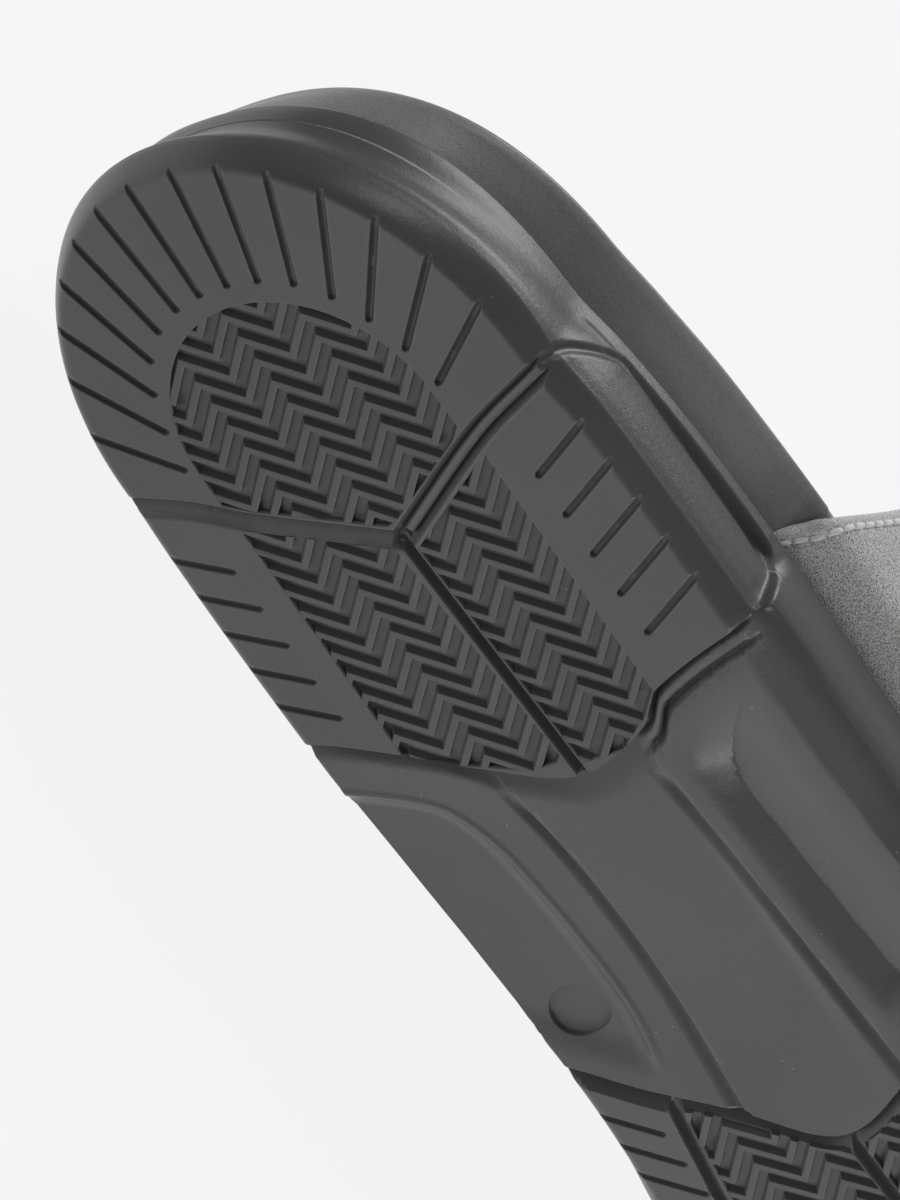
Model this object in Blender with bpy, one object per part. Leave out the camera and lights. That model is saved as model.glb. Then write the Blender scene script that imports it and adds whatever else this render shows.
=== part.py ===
"""A left slip-on sandal that lies on its outer side: moulded outsole, footbed, insole and leather strap.

The shape is worked out upright in millimetres: x from heel to toe, y to the outer side, z up from the tread.
The finished pieces are then turned onto the floor, in metres.
"""

import math

import bmesh
import bpy
from mathutils import Matrix, Vector

for old in list(bpy.data.objects):
    bpy.data.objects.remove(old, do_unlink=True)

MM = 0.001
GAP = 0.3
RING_POINTS = 104

# Lying pose: turn about the upright axis, then tip over onto the outer side.
LIE_YAW = -0.28
LIE_ROLL = -90.13
FLOOR_SHIFT = (-144.9, -45.21, 40.364)

# Half widths of the sole in plan, at the tread edge, at the footbed seat and at the footbed rim.
WIDTH_COLUMNS = ("x", "edge_out", "edge_in", "seat_out", "seat_in", "rim_out", "rim_in")
WIDTHS = (
    (0, 33.9, 37.1, 35.4, 40.5, 36.0, 45.4),
    (50, 34.2, 38.6, 37.4, 41.2, 36.2, 46.0),
    (62, 34.7, 40.2, 38.8, 42.0, 36.4, 47.6),
    (78, 35.0, 41.0, 39.6, 43.6, 36.6, 49.6),
    (105, 34.9, 41.6, 39.7, 46.4, 36.9, 51.2),
    (131, 34.2, 41.4, 38.4, 46.7, 38.4, 51.7),
    (152, 32.9, 40.8, 36.8, 46.6, 38.8, 51.4),
    (176, 31.2, 40.6, 35.4, 46.4, 38.7, 51.0),
    (196, 31.6, 42.0, 36.3, 47.4, 38.4, 51.4),
    (220, 33.8, 45.0, 39.6, 49.8, 39.5, 53.2),
    (245, 35.6, 46.8, 43.0, 51.6, 41.8, 54.2),
    (270, 36.0, 47.4, 43.4, 52.2, 42.4, 54.6),
    (295, 35.2, 47.4, 42.6, 52.2, 41.6, 54.6),
)

# Rounded ends of the same three outlines.
END_COLUMNS = ("heel", "heel_run", "heel_power_out", "heel_power_in", "toe", "toe_run", "toe_power")
ENDS = {
    "edge": (0.0, 48.0, 2.0, 2.0, 285.5, 74.0, 2.2),
    "seat": (2.5, 49.5, 2.0, 2.4, 290.0, 77.0, 2.2),
    "rim": (7.4, 51.0, 2.2, 2.4, 292.0, 79.0, 2.2),
}

# Heights above the tread of the footbed seat, the footbed rim and the top of the strap.
HEIGHT_COLUMNS = ("x", "seat", "rim", "instep")
HEIGHTS = (
    (0, 17.5, 27.5, 106.0),
    (100, 17.5, 27.5, 102.0),
    (150, 17.0, 26.6, 90.0),
    (190, 15.4, 24.2, 76.5),
    (225, 14.0, 22.2, 65.0),
    (295, 13.0, 20.8, 54.0),
)
SPRING_START = 204.0
SPRING_RISE = 9.0

# Wall of the lower unit from the flat tread upward: inset from the outline, height, and share of the way
# from the tread edge to the seat on the outer and on the inner side.
WALL_COLUMNS = ("inset", "height", "share_out", "share_in")
WALL = (
    (0.0, 0.0, 0.0, 0.0),
    (-0.75, 0.45, 0.0, 0.0),
    (-1.7, 2.8, 0.0, 0.0),
    (-2.2, 5.6, 0.04, 0.0),
    (-1.0, 8.5, 1.0, 0.3),
    (-0.5, 12.5, 1.0, 0.68),
)

# Tread: slot width and depth, main groove width and depth, sunken herringbone floor.
SLOT_WIDTH = 1.15
SLOT_DEPTH = 1.3
GROOVE_WIDTH = 2.6
GROOVE_DEPTH = 2.2
PANEL_DEPTH = 1.1
BLOCK_GROOVE = 1.8
BLOCK_DEPTH = 1.2

# Arch: front edge of the heel tread and rear edge of the forefoot tread across the sole.
ARCH_COLUMNS = ("y", "rear", "front")
ARCH = (
    (60, 100.0, 172.0),
    (36, 101.5, 175.5),
    (22, 108.5, 186.0),
    (11, 115.5, 193.5),
    (-3, 122.0, 203.0),
    (-18, 117.0, 197.0),
    (-23, 111.5, 190.0),
    (-46, 104.0, 182.0),
    (-60, 102.0, 180.0),
)
# Arch floor at its ends, its extra rise in the middle, and the channels that part it from the treads.
ARCH_STEP = 0.9
ARCH_RISE = 1.5
CHANNEL = 2.9
# Lines along the arch from rear to front: edge of the outer pocket, two creases, edge of the inner scoop.
LINE_COLUMNS = ("share", "pocket", "crease_out", "crease_in", "scoop")
LINES = (
    (0.0, 22.0, 12.6, -11.0, -17.0),
    (0.25, 19.6, 11.6, -13.0, -20.0),
    (0.5, 17.8, 10.2, -14.8, -23.5),
    (1.0, 16.6, 9.6, -18.4, -28.0),
)
CREASE_DEPTH = 1.1
CREASE_HALF = 1.4
POCKET_DEPTH = 0.9
SCOOP_DEPTH = 3.2
# Rows of the arch relief across the sole, as distances from those lines, and its stations from rear to front.
ARCH_ROWS = {
    "pocket": (40.0, 17.0, 8.0, 1.8, 0.0),
    "crease_out": (CREASE_HALF, 0.0, -CREASE_HALF),
    "crease_in": (9.0, CREASE_HALF, 0.0, -CREASE_HALF),
    "scoop": (0.0, -2.5, -5.0, -8.0, -15.0, -22.0, -44.0),
}
ARCH_SHARES = (0.05, 0.09, 0.14, 0.2, 0.28, 0.36, 0.46, 0.56, 0.66, 0.76, 0.86, 0.93, 0.985)
# Round recess in the pocket: ends of its axis, width and depth.
RECESS = ((165.3, 24.8), (168.3, 24.6))
RECESS_WIDTH = 8.6
RECESS_DEPTH = 0.5

# Strap: wall, margin under the footbed, depth of its recess in the footbed, and the run of its rear and
# front edges, which lie further forward on the inner side and sweep forward up to the instep. The rear edge
# is tucked a little further forward over the instep itself.
STRAP_THICK = 2.1
STRAP_MARGIN = 9.0
SEAT_RECESS = 3.4
RIM_RECESS = 0.35
STRAP_REAR = 100.0
STRAP_FRONT = 204.0
REAR_SKEW = 3.2
FRONT_SKEW = 8.0
REAR_SWEEP = 46.0
REAR_TUCK = 5.0
FRONT_SWEEP = 16.0
ROLL_THICK = 2.9
ROLL_WIDTH = 1.8
ARCH_STEPS = 19
INSTEP_SHIFT = -6.0

INSOLE_THICK = 3.0
BED_FLOOR = 3.5


def along(columns, table, name, x):
    """Smooth reading of one column of a table at x."""
    k = columns.index(name)
    rows = sorted(table)
    i = max(0, min(len(rows) - 2, sum(1 for row in rows[1:-1] if row[0] <= x)))
    x0, x1 = rows[i][0], rows[i + 1][0]
    y0, y1 = rows[i][k], rows[i + 1][k]
    before = rows[max(i - 1, 0)]
    after = rows[min(i + 2, len(rows) - 1)]
    m0 = (y1 - before[k]) / (x1 - before[0])
    m1 = (after[k] - y0) / (after[0] - x0)
    t = min(1.0, max(0.0, (x - x0) / (x1 - x0)))
    h = x1 - x0
    rise = t * t * (3 - 2 * t)
    return y0 + (y1 - y0) * rise + h * (t * (1 - t) ** 2 * m0 - t * t * (1 - t) * m1)


def height(name, x):
    return along(HEIGHT_COLUMNS, HEIGHTS, name, x)


def spring(x):
    run = max(0.0, x - SPRING_START) / (ENDS["edge"][4] - SPRING_START)
    return SPRING_RISE * run * run


def end_round(level, x, inner):
    """Share of the full width that is left near the rounded heel and toe."""
    end = dict(zip(END_COLUMNS, ENDS[level]))
    share = 1.0
    for near, run, power in (
        (x - end["heel"], end["heel_run"], end["heel_power_in" if inner else "heel_power_out"]),
        (end["toe"] - x, end["toe_run"], end["toe_power"]),
    ):
        if near < run:
            share *= max(0.0, 1.0 - (1.0 - max(near, 0.0) / run) ** power) ** (1.0 / power)
    return share


def side(level, x, inner):
    """Distance y of an outline from the heel axis at x, on the inner or the outer side."""
    out = along(WIDTH_COLUMNS, WIDTHS, level + "_out", x)
    inn = -along(WIDTH_COLUMNS, WIDTHS, level + "_in", x)
    middle = (out + inn) / 2
    return middle + ((inn if inner else out) - middle) * end_round(level, x, inner)


def outline(level, inset=0.0):
    """Closed plan outline from the heel along the inner side to the toe and back along the outer side."""
    heel, toe = ENDS[level][0], ENDS[level][4]
    flat = []
    for i in range(RING_POINTS):
        turn = 2 * math.pi * i / RING_POINTS
        x = heel + (toe - heel) * (1 - math.cos(turn)) / 2
        flat.append(Vector((x, side(level, x, turn < math.pi))))
    moved = []
    for i, point in enumerate(flat):
        run = (flat[(i + 1) % RING_POINTS] - flat[i - 1]).normalized()
        moved.append(point + Vector((-run.y, run.x)) * inset)
    return moved


def raised(flat, rise):
    return [Vector((p.x, p.y, rise(p.x) + spring(p.x))) for p in flat]


def mixed(first, second, share):
    return [a.lerp(b, share) for a, b in zip(first, second)]


def new_object(name, vertices, faces):
    mesh = bpy.data.meshes.new(name)
    mesh.from_pydata([v * MM for v in vertices], [], faces)
    shape = bmesh.new()
    shape.from_mesh(mesh)
    bmesh.ops.remove_doubles(shape, verts=shape.verts, dist=1e-7)
    bmesh.ops.recalc_face_normals(shape, faces=shape.faces)
    shape.to_mesh(mesh)
    shape.free()
    obj = bpy.data.objects.new(name, mesh)
    bpy.context.scene.collection.objects.link(obj)
    return obj


def loft(name, rings):
    """Closed solid through rings of equal count, with each end closed by rungs from side to side."""
    n = RING_POINTS
    vertices = [v for ring in rings for v in ring]
    faces = []
    for k in range(len(rings) - 1):
        for i in range(n):
            j = (i + 1) % n
            faces.append((k * n + i, k * n + j, (k + 1) * n + j, (k + 1) * n + i))
    for base in (0, (len(rings) - 1) * n):
        for i in range(n // 2):
            rung = [base + i, base + i + 1, base + (n - i - 1) % n, base + (n - i) % n]
            faces.append(tuple(dict.fromkeys(rung)))
    return new_object(name, vertices, faces)


def slab(name, top, bottom):
    """Closed solid between two grids of points."""
    rows, columns = len(top), len(top[0])
    vertices = [v for row in top for v in row] + [v for row in bottom for v in row]
    low = rows * columns
    faces = []
    for r in range(rows - 1):
        for c in range(columns - 1):
            quad = (r * columns + c, r * columns + c + 1, (r + 1) * columns + c + 1, (r + 1) * columns + c)
            faces.append(quad)
            faces.append(tuple(low + q for q in reversed(quad)))
    rim = [(0, c) for c in range(columns)]
    rim += [(r, columns - 1) for r in range(1, rows)]
    rim += [(rows - 1, c) for c in range(columns - 2, -1, -1)]
    rim += [(r, 0) for r in range(rows - 2, 0, -1)]
    for a, b in zip(rim, rim[1:] + rim[:1]):
        i, j = a[0] * columns + a[1], b[0] * columns + b[1]
        faces.append((i, j, low + j, low + i))
    return new_object(name, vertices, faces)


def cut(target, tools, operation="DIFFERENCE"):
    """Takes each tool from the target, or adds it, and leaves one plain mesh."""
    for tool in tools:
        step = target.modifiers.new(tool.name, "BOOLEAN")
        step.operation = operation
        step.solver = "EXACT"
        step.object = tool
    graph = bpy.context.evaluated_depsgraph_get()
    mesh = bpy.data.meshes.new_from_object(target.evaluated_get(graph))
    target.modifiers.clear()
    target.data = mesh
    for tool in tools:
        bpy.data.objects.remove(tool, do_unlink=True)


def joined(name, parts):
    """One mesh of separate solids that don't touch."""
    shape = bmesh.new()
    for part in parts:
        shape.from_mesh(part.data)
        bpy.data.objects.remove(part, do_unlink=True)
    mesh = bpy.data.meshes.new(name)
    shape.to_mesh(mesh)
    shape.free()
    obj = bpy.data.objects.new(name, mesh)
    bpy.context.scene.collection.objects.link(obj)
    return obj


def stadium(name, start, end, width, depth, base=None, steps=4):
    """Upright cutter with round ends, from below the tread to a depth that follows the toe spring."""
    run = (Vector(end) - Vector(start)).normalized()
    across = Vector((-run.y, run.x)) * (width / 2)
    flat = []
    for centre, first in ((Vector(end), -90), (Vector(start), 90)):
        for step in range(steps + 1):
            turn = math.radians(first + 180 * step / steps)
            flat.append(centre + run * (math.cos(turn) * width / 2) + across * math.sin(turn))
    top = [Vector((p.x, p.y, (spring(p.x) if base is None else base) + depth)) for p in flat]
    low = [Vector((p.x, p.y, -4.0)) for p in flat]
    n = len(flat)
    sides = [(i, (i + 1) % n, n + (i + 1) % n, n + i) for i in range(n)]
    return new_object(name, top + low, sides + [tuple(range(n)), tuple(range(2 * n - 1, n - 1, -1))])


def ribbon(name, path, width, depth):
    """Groove cutter along a path of plan points."""
    points = [Vector(p) for p in path]
    grid = {4: [], 0: []}
    for i, p in enumerate(points):
        run = (points[min(i + 1, len(points) - 1)] - points[max(i - 1, 0)]).normalized()
        across = Vector((-run.y, run.x)) * (width / 2)
        for level, z in ((4, spring(p.x) + depth), (0, -4.0)):
            grid[level].append([Vector((q.x, q.y, z)) for q in (p + across, p - across)])
    return slab(name, grid[4], grid[0])


def panel(name, stations, depth):
    """Sunken floor between two edges, given as (x, outer y, inner y) stations."""
    top = [[Vector((x, a, spring(x) + depth)), Vector((x, b, spring(x) + depth))] for x, a, b in stations]
    low = [[Vector((x, a, -4.0)), Vector((x, b, -4.0))] for x, a, b in stations]
    return slab(name, top, low)


def piecewise(knots, x):
    """Straight-line reading of (x, y) knots."""
    for (xa, ya), (xb, yb) in zip(knots, knots[1:]):
        if x <= xb:
            return ya + (yb - ya) * max(0.0, (x - xa) / (xb - xa))
    return knots[-1][1]


def wall(x, z, inner):
    """Side of the lower unit at x and height z."""
    rows = [dict(zip(WALL_COLUMNS, row)) for row in WALL]
    rows.append({"inset": 0.0, "height": height("seat", x), "share_out": 1.0, "share_in": 1.0})
    edge, seat = side("edge", x, inner), side("seat", x, inner)
    sign = -1.0 if inner else 1.0
    share = "share_in" if inner else "share_out"
    knots = [(r["height"], edge + (seat - edge) * r[share] - sign * r["inset"]) for r in rows]
    return piecewise(knots, z)


def block_groove():
    """Groove on the inner wall around the raised block beside the heel tread."""
    path = ((53.2, -1.0), (54.4, 3.0), (57.0, 9.0), (58.6, 12.2), (60.6, 13.2), (70.0, 13.2), (80.0, 13.2))
    path += ((90.0, 13.2), (99.0, 13.2), (101.4, 12.2), (102.8, 9.0), (105.0, 3.0), (106.0, -1.0))
    points = [Vector(p) for p in path]
    deep, out = [], []
    for i, p in enumerate(points):
        run = (points[min(i + 1, len(points) - 1)] - points[max(i - 1, 0)]).normalized()
        across = Vector((-run.y, run.x)) * (BLOCK_GROOVE / 2)
        pair = (p + across, p - across)
        deep.append([Vector((q.x, wall(q.x, max(q.y, 0.0), True) + BLOCK_DEPTH, q.y)) for q in pair])
        out.append([Vector((q.x, wall(q.x, max(q.y, 0.0), True) - 3.0, q.y)) for q in pair])
    return slab("block_groove", out, deep)


def smooth(a, b, x):
    t = max(0.0, min(1.0, (x - a) / (b - a)))
    return t * t * (3 - 2 * t)


def arch_height(share, y, ahead):
    """Height of the arch floor: share of its length, place across, and distance ahead of the heel tread."""
    line = {name: along(LINE_COLUMNS, LINES, name, share) for name in LINE_COLUMNS[1:]}
    floor = ARCH_STEP + ARCH_RISE * math.sin(math.pi * min(1.0, share))
    ramp = 4.5 if y > 14 else 7.0
    floor += (CHANNEL - ARCH_STEP) * (1 - smooth(0.8, ramp, ahead))
    for name in ("crease_out", "crease_in"):
        floor += CREASE_DEPTH * max(0.0, 1 - abs(y - line[name]) / CREASE_HALF) * smooth(0.06, 0.12, share)
    back = 10.0 + 0.9 * max(0.0, 36.0 - y)
    floor += POCKET_DEPTH * smooth(line["pocket"], line["pocket"] + 1.6, y) * smooth(back, back + 2.0, ahead)
    into = line["scoop"] - y
    tail = smooth(0.1, 0.3, share) * (1 - smooth(0.86, 0.98, share))
    floor += SCOOP_DEPTH * smooth(0.0, 5.0, into) * (1 - smooth(7.0, 15.0, into)) * tail
    return floor


def arch_tool():
    """Relief under the arch: channels at its ends, pocket, creased middle panels and inner scoop."""
    steps = [(name, offset) for name, offsets in ARCH_ROWS.items() for offset in offsets]
    top, low = [], []
    for name, offset in steps:
        row = []
        stations = [("rear", v) for v in (0.0, 0.3, 1.2)] + [("floor", v) for v in ARCH_SHARES]
        for kind, share in stations:
            y = along(LINE_COLUMNS, LINES, name, share if kind == "floor" else 0.0) + offset
            rear = along(ARCH_COLUMNS, ARCH, "rear", y)
            length = along(ARCH_COLUMNS, ARCH, "front", y) - rear
            ahead = length * share if kind == "floor" else share
            z = -1.5 if ahead == 0.0 else arch_height(ahead / length, y, ahead)
            row.append(Vector((rear + ahead, y, z)))
        y = along(LINE_COLUMNS, LINES, name, 1.0) + offset
        front = along(ARCH_COLUMNS, ARCH, "front", y)
        for ahead, z in ((0.2, 2.4), (0.9, 2.4), (4.2, -0.6)):
            row.append(Vector((front + ahead, y, z + spring(front + ahead))))
        top.append(row)
        low.append([Vector((p.x, p.y, -6.0)) for p in row])
    return slab("arch", top, low)


# Tread of the heel: mirrored slots around the heel, as (outer x, outer y, inner x, inner y).
HEEL_SLOTS = (
    (1.0, 3.75, 20.8, 2.5),
    (2.7, 10.6, 21.8, 7.4),
    (6.1, 17.2, 24.3, 12.3),
    (11.4, 23.3, 28.5, 16.5),
    (18.7, 28.5, 34.1, 19.6),
    (27.9, 32.1, 40.8, 21.9),
    (38.0, 34.8, 48.1, 23.2),
)
HEEL_SLOT_SHIFT = -1.9
# Rows of side slots: count, inner end x and y, outer end x and y, pitch.
SIDE_COLUMNS = ("count", "inner_x", "inner_y", "outer_x", "outer_y", "pitch")
SIDE_SLOTS = (
    (5, 67.8, 27.1, 62.4, 35.0, 7.75),
    (5, 68.7, -28.4, 62.1, -40.6, 8.05),
    (7, 192.8, 23.8, 186.2, 31.4, 6.95),
    (8, 196.0, -29.0, 190.0, -41.5, 7.4),
)
TOE_SLOTS = 9
FORK = (72.0, -1.8)
HEEL_GROOVES = {
    "outer_branch": ((49.0, 40.0), (55.0, 27.0), (60.5, 18.8), FORK),
    "inner_branch": ((46.5, -46.0), (52.7, -37.0), (58.8, -23.4), FORK),
    "centre": (FORK, (96.0, -2.8), (121.6, -3.9)),
}
FORE_GROOVES = {
    "outer_long": ((180.0, 16.5), (196.0, 18.0), (215.0, 19.2), (235.0, 19.0), (252.0, 16.0)),
    "inner_long": ((186.0, -24.5), (205.0, -26.8), (225.0, -28.6), (240.0, -28.4), (252.0, -25.5)),
    "middle": ((203.5, -5.4), (218.0, -5.6), (235.0, -6.0), (258.0, -6.6)),
}
# Sunken herringbone fields: edges as (x, y) knots.
FIELDS = {
    "heel_field": {
        "x": (24.8, 25.6, 27.5, 31, 36, 42, 48, 55, 58.5, 63, 67.5),
        "outer": None,
        "inner": None,
    },
    "outer_field": {
        "x": (62.5, 66, 72, 80, 95, 108.6, 113.5, 118.4),
        "outer": ((62.5, 21.2), (108.6, 21.6), (113.5, 14.4), (118.4, 3.6)),
        "inner": ((62.5, 18.6), (72.6, 0.6), (118.4, -2.0)),
    },
    "inner_field": {
        "x": (63.0, 66, 72, 80, 95, 111.2, 115.0, 119.6),
        "outer": ((63.0, -19.8), (73.4, -3.9), (119.6, -5.7)),
        "inner": ((63.0, -22.6), (111.2, -23.2), (115.0, -19.8), (119.6, -12.0)),
    },
    "fore_outer_field": {
        "x": (190.5, 197, 206, 215, 225, 235, 245, 253),
        "outer": ((190.5, 15.0), (206, 16.6), (225, 17.4), (240, 16.8), (253, 12.5)),
        "inner": ((190.5, 12.0), (206, -3.2), (225, -3.9), (253, -4.6)),
    },
    "fore_inner_field": {
        "x": (201, 206, 215, 225, 235, 245, 253),
        "outer": ((201, -20.0), (206, -7.4), (225, -7.8), (253, -8.4)),
        "inner": ((201, -24.6), (215, -26.0), (230, -26.8), (240, -26.2), (253, -22.0)),
    },
}


def field_stations(name):
    field = FIELDS[name]
    if field["outer"] is None:
        rows = []
        for x in field["x"]:
            back = max(0.0, 1.0 - (max(0.0, 50.0 - x) / 25.6) ** 2) ** 0.5
            outer = min(21.4 * back, piecewise(((0, 99), (57.5, 20.2), (69.6, -0.6)), x))
            inner = max(-21.4 * back, piecewise(((0, -99), (57.0, -23.0), (69.6, -2.4)), x))
            rows.append((x, outer, inner))
        return rows
    return [(x, piecewise(field["outer"], x), piecewise(field["inner"], x)) for x in field["x"]]


def make_outsole():
    rings = []
    for row in WALL:
        level = dict(zip(WALL_COLUMNS, row))
        flat = []
        for low, high in zip(outline("edge", level["inset"]), outline("seat", level["inset"])):
            outer = max(0.0, min(1.0, 0.5 + low.y / 50))
            flat.append(low.lerp(high, level["share_in"] + (level["share_out"] - level["share_in"]) * outer))
        rings.append(raised(flat, lambda x, z=level["height"]: z * height("seat", x) / HEIGHTS[0][1]))
    rings.append(raised(outline("seat"), lambda x: height("seat", x) - 0.8))
    rings.append(raised(outline("seat", 0.7), lambda x: height("seat", x)))
    body = loft("outsole", rings)
    cut(body, [block_groove()])
    cut(body, [arch_tool()])
    floor = arch_height(0.84, RECESS[0][1], 60.0)
    cut(body, [stadium("recess", *RECESS, RECESS_WIDTH, RECESS_DEPTH, floor, 9)])
    cut(body, [joined("fields", [panel(name, field_stations(name), PANEL_DEPTH) for name in FIELDS])])
    cut(body, [ribbon(name, path, GROOVE_WIDTH, GROOVE_DEPTH) for name, path in HEEL_GROOVES.items()])
    cut(body, [joined("fore", [ribbon(k, p, GROOVE_WIDTH, GROOVE_DEPTH) for k, p in FORE_GROOVES.items()])])
    slots = []
    for ox, oy, ix, iy in HEEL_SLOTS:
        for sign in (1, -1):
            end = Vector((ox, sign * oy + HEEL_SLOT_SHIFT))
            end += (end - Vector((ix, sign * iy))).normalized() * 5
            slots.append(stadium("slot", (ix, sign * iy), end, SLOT_WIDTH, SLOT_DEPTH))
    for row in SIDE_SLOTS:
        line = dict(zip(SIDE_COLUMNS, row))
        for i in range(line["count"]):
            shift = line["pitch"] * i
            start = (line["inner_x"] + shift, line["inner_y"])
            end = Vector((line["outer_x"] + shift, line["outer_y"]))
            end += (end - Vector(start)).normalized() * 6
            slots.append(stadium("slot", start, end, SLOT_WIDTH, SLOT_DEPTH))
    for i in range(TOE_SLOTS):
        turn = math.radians(-66 + 132 * i / (TOE_SLOTS - 1))
        start = (247 + 17 * math.cos(turn), -6.3 + 24 * math.sin(turn))
        end = (247 + 46 * math.cos(turn), -6.3 + 50 * math.sin(turn))
        slots.append(stadium("slot", start, end, SLOT_WIDTH, SLOT_DEPTH))
    cut(body, [joined("slots", slots)])
    return body


def bed_floor(x):
    return height("seat", x) + BED_FLOOR


def bed_waist(x):
    return 0.45 * height("seat", x) + 0.55 * height("rim", x)


def make_footbed():
    rings = [
        raised(outline("seat", 4.2), lambda x: height("seat", x) + GAP),
        raised(outline("seat", 2.8), lambda x: height("seat", x) + GAP + 0.6),
        raised(mixed(outline("seat", 2.0), outline("rim", 0.4), 0.55), bed_waist),
        raised(outline("rim"), lambda x: height("rim", x) - 2.0),
        raised(outline("rim", 0.6), lambda x: height("rim", x) - 0.6),
        raised(outline("rim", 2.2), lambda x: height("rim", x)),
        raised(outline("rim", 4.2), lambda x: height("rim", x) - 0.6),
        raised(outline("rim", 5.4), lambda x: height("rim", x) - 2.0),
        raised(outline("rim", 8.0), lambda x: bed_floor(x) + 1.2),
        raised(outline("rim", 10.6), bed_floor),
    ]
    return loft("footbed", rings)


def make_insole():
    rings = [
        raised(outline("rim", 11.0), lambda x: bed_floor(x) + GAP),
        raised(outline("rim", 8.5), lambda x: bed_floor(x) + 1.55),
        raised(outline("rim", 7.4), lambda x: bed_floor(x) + 2.7),
        raised(outline("rim", 8.0), lambda x: bed_floor(x) + INSOLE_THICK + 0.3),
        raised(outline("rim", 14.0), lambda x: bed_floor(x) + INSOLE_THICK + 0.1),
        raised(outline("rim", 22.0), lambda x: bed_floor(x) + INSOLE_THICK - 0.4),
    ]
    return loft("insole", rings)


def strap_column(column):
    """Where a strap column lies: inner side or not, kind, and share within the kind."""
    ends = ("margin", 0.0), ("margin", 0.5), ("margin", 0.86), ("corner", 0.0), ("side", 0.45), ("side", 0.9)
    if column < len(ends):
        return False, ends[column][0], ends[column][1]
    column -= len(ends)
    if column < ARCH_STEPS:
        return False, "arch", (column + 0.6) / (ARCH_STEPS + 0.2)
    kind, share = ends[len(ends) - 1 - (column - ARCH_STEPS)]
    return True, kind, share


STRAP_COLUMNS = 12 + ARCH_STEPS


def strap_middle(column, x, reach=0.0):
    """Point of the strap's middle surface on one column at x."""
    inner, kind, share = strap_column(column)
    off = GAP + STRAP_THICK / 2
    seat_z = height("seat", x) + off + spring(x)
    rim_z = height("rim", x) - 2.0 + spring(x)

    def foot(inn):
        sign = -1.0 if inn else 1.0
        seat = side("seat", x, inn) + sign * (off - SEAT_RECESS)
        rim = side("rim", x, inn) + sign * (off - RIM_RECESS)
        return seat, rim, sign

    if kind == "arch":
        turn = math.pi * share
        out, inn = foot(False)[1], foot(True)[1]
        middle, half = (out + inn) / 2, (out - inn) / 2
        level = abs(math.sin(turn)) ** (2 / 2.5)
        reach_y = math.copysign(abs(math.cos(turn)) ** (2 / 2.5), math.cos(turn))
        swell = 2.6 * math.sin(2 * turn)
        y = middle + half * reach_y + swell + INSTEP_SHIFT * level * level
        top = height("instep", x)
        return Vector((x, y, rim_z + (top - rim_z) * level))
    seat_y, rim_y, sign = foot(inner)
    if kind == "margin":
        return Vector((x, seat_y - sign * (STRAP_MARGIN + reach) * (1 - share) - sign * 1.2 * share, seat_z))
    if kind == "corner":
        return Vector((x, seat_y, seat_z + 1.5))
    return Vector((x, seat_y + (rim_y - seat_y) * share, seat_z + 1.5 + (rim_z - seat_z - 1.5) * share))


def strap_ends(column):
    """Rear and front edge of the strap along one column."""
    inner, kind, share = strap_column(column)
    if kind == "arch":
        up = math.sin(math.pi * share)
        across = (1 - math.cos(math.pi * share)) / 2
        rise = 0.08 + 0.92 * up ** 0.62
        tuck = REAR_TUCK * smooth(0.15, 0.6, up)
    else:
        tuck = 0.0
        across = 1.0 if inner else 0.0
        rise = {"margin": 0.0, "corner": 0.0, "side": 0.1 * share}[kind]
    rear = STRAP_REAR + REAR_SKEW * across + REAR_SWEEP * rise + tuck
    front = STRAP_FRONT + FRONT_SKEW * across + FRONT_SWEEP * rise
    return rear, front


def strap_grids(grow=0.0):
    """Outer and inner faces of the strap, with a rolled rear and front edge."""
    steps = 9
    edge_runs = (0.0 - grow, 0.55, ROLL_WIDTH - 0.3, ROLL_WIDTH + 0.4)
    edge_half = (0.8, ROLL_THICK / 2, ROLL_THICK / 2, STRAP_THICK / 2)
    middle, half = [], []
    for column in range(STRAP_COLUMNS):
        rear, front = strap_ends(column)
        kind = strap_column(column)[1]
        pitch = (front - rear - 2 * edge_runs[-1]) / steps
        inside = [rear + edge_runs[-1] + pitch * k for k in range(1, steps)]
        xs = [rear + run for run in edge_runs] + inside + [front - run for run in reversed(edge_runs)]
        thick = list(edge_half) + [STRAP_THICK / 2] * len(inside) + list(reversed(edge_half))
        if kind in ("margin", "corner"):
            thick = [STRAP_THICK / 2] * len(xs)
        elif kind == "side" or column in (6, STRAP_COLUMNS - 7):
            thick = [min(t, STRAP_THICK / 2) for t in thick]
        middle.append([strap_middle(column, x, grow) for x in xs])
        half.append(thick)
    outer, inner = [], []
    last_c, last_r = STRAP_COLUMNS - 1, len(middle[0]) - 1
    for c in range(STRAP_COLUMNS):
        outer_row, inner_row = [], []
        for r in range(last_r + 1):
            along_c = middle[min(c + 1, last_c)][r] - middle[max(c - 1, 0)][r]
            along_r = middle[c][min(r + 1, last_r)] - middle[c][max(r - 1, 0)]
            normal = along_r.cross(along_c).normalized()
            shift = normal * (half[c][r] + grow)
            outer_row.append(middle[c][r] + shift)
            inner_row.append(middle[c][r] - shift)
        outer.append(outer_row)
        inner.append(inner_row)
    return outer, inner


def make_strap():
    outer, inner = strap_grids()
    return slab("strap", outer, inner)


def finish(obj, colour, roughness):
    material = bpy.data.materials.new(obj.name + "_material")
    material.use_nodes = True
    shader = material.node_tree.nodes["Principled BSDF"]
    shader.inputs["Base Color"].default_value = (*colour, 1.0)
    shader.inputs["Roughness"].default_value = roughness
    obj.data.materials.clear()
    obj.data.materials.append(material)
    lie = Matrix.Rotation(math.radians(LIE_ROLL), 4, "X") @ Matrix.Rotation(math.radians(LIE_YAW), 4, "Z")
    obj.data.transform(Matrix.Translation(Vector(FLOOR_SHIFT) * MM) @ lie)
    obj.data.update()


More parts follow.
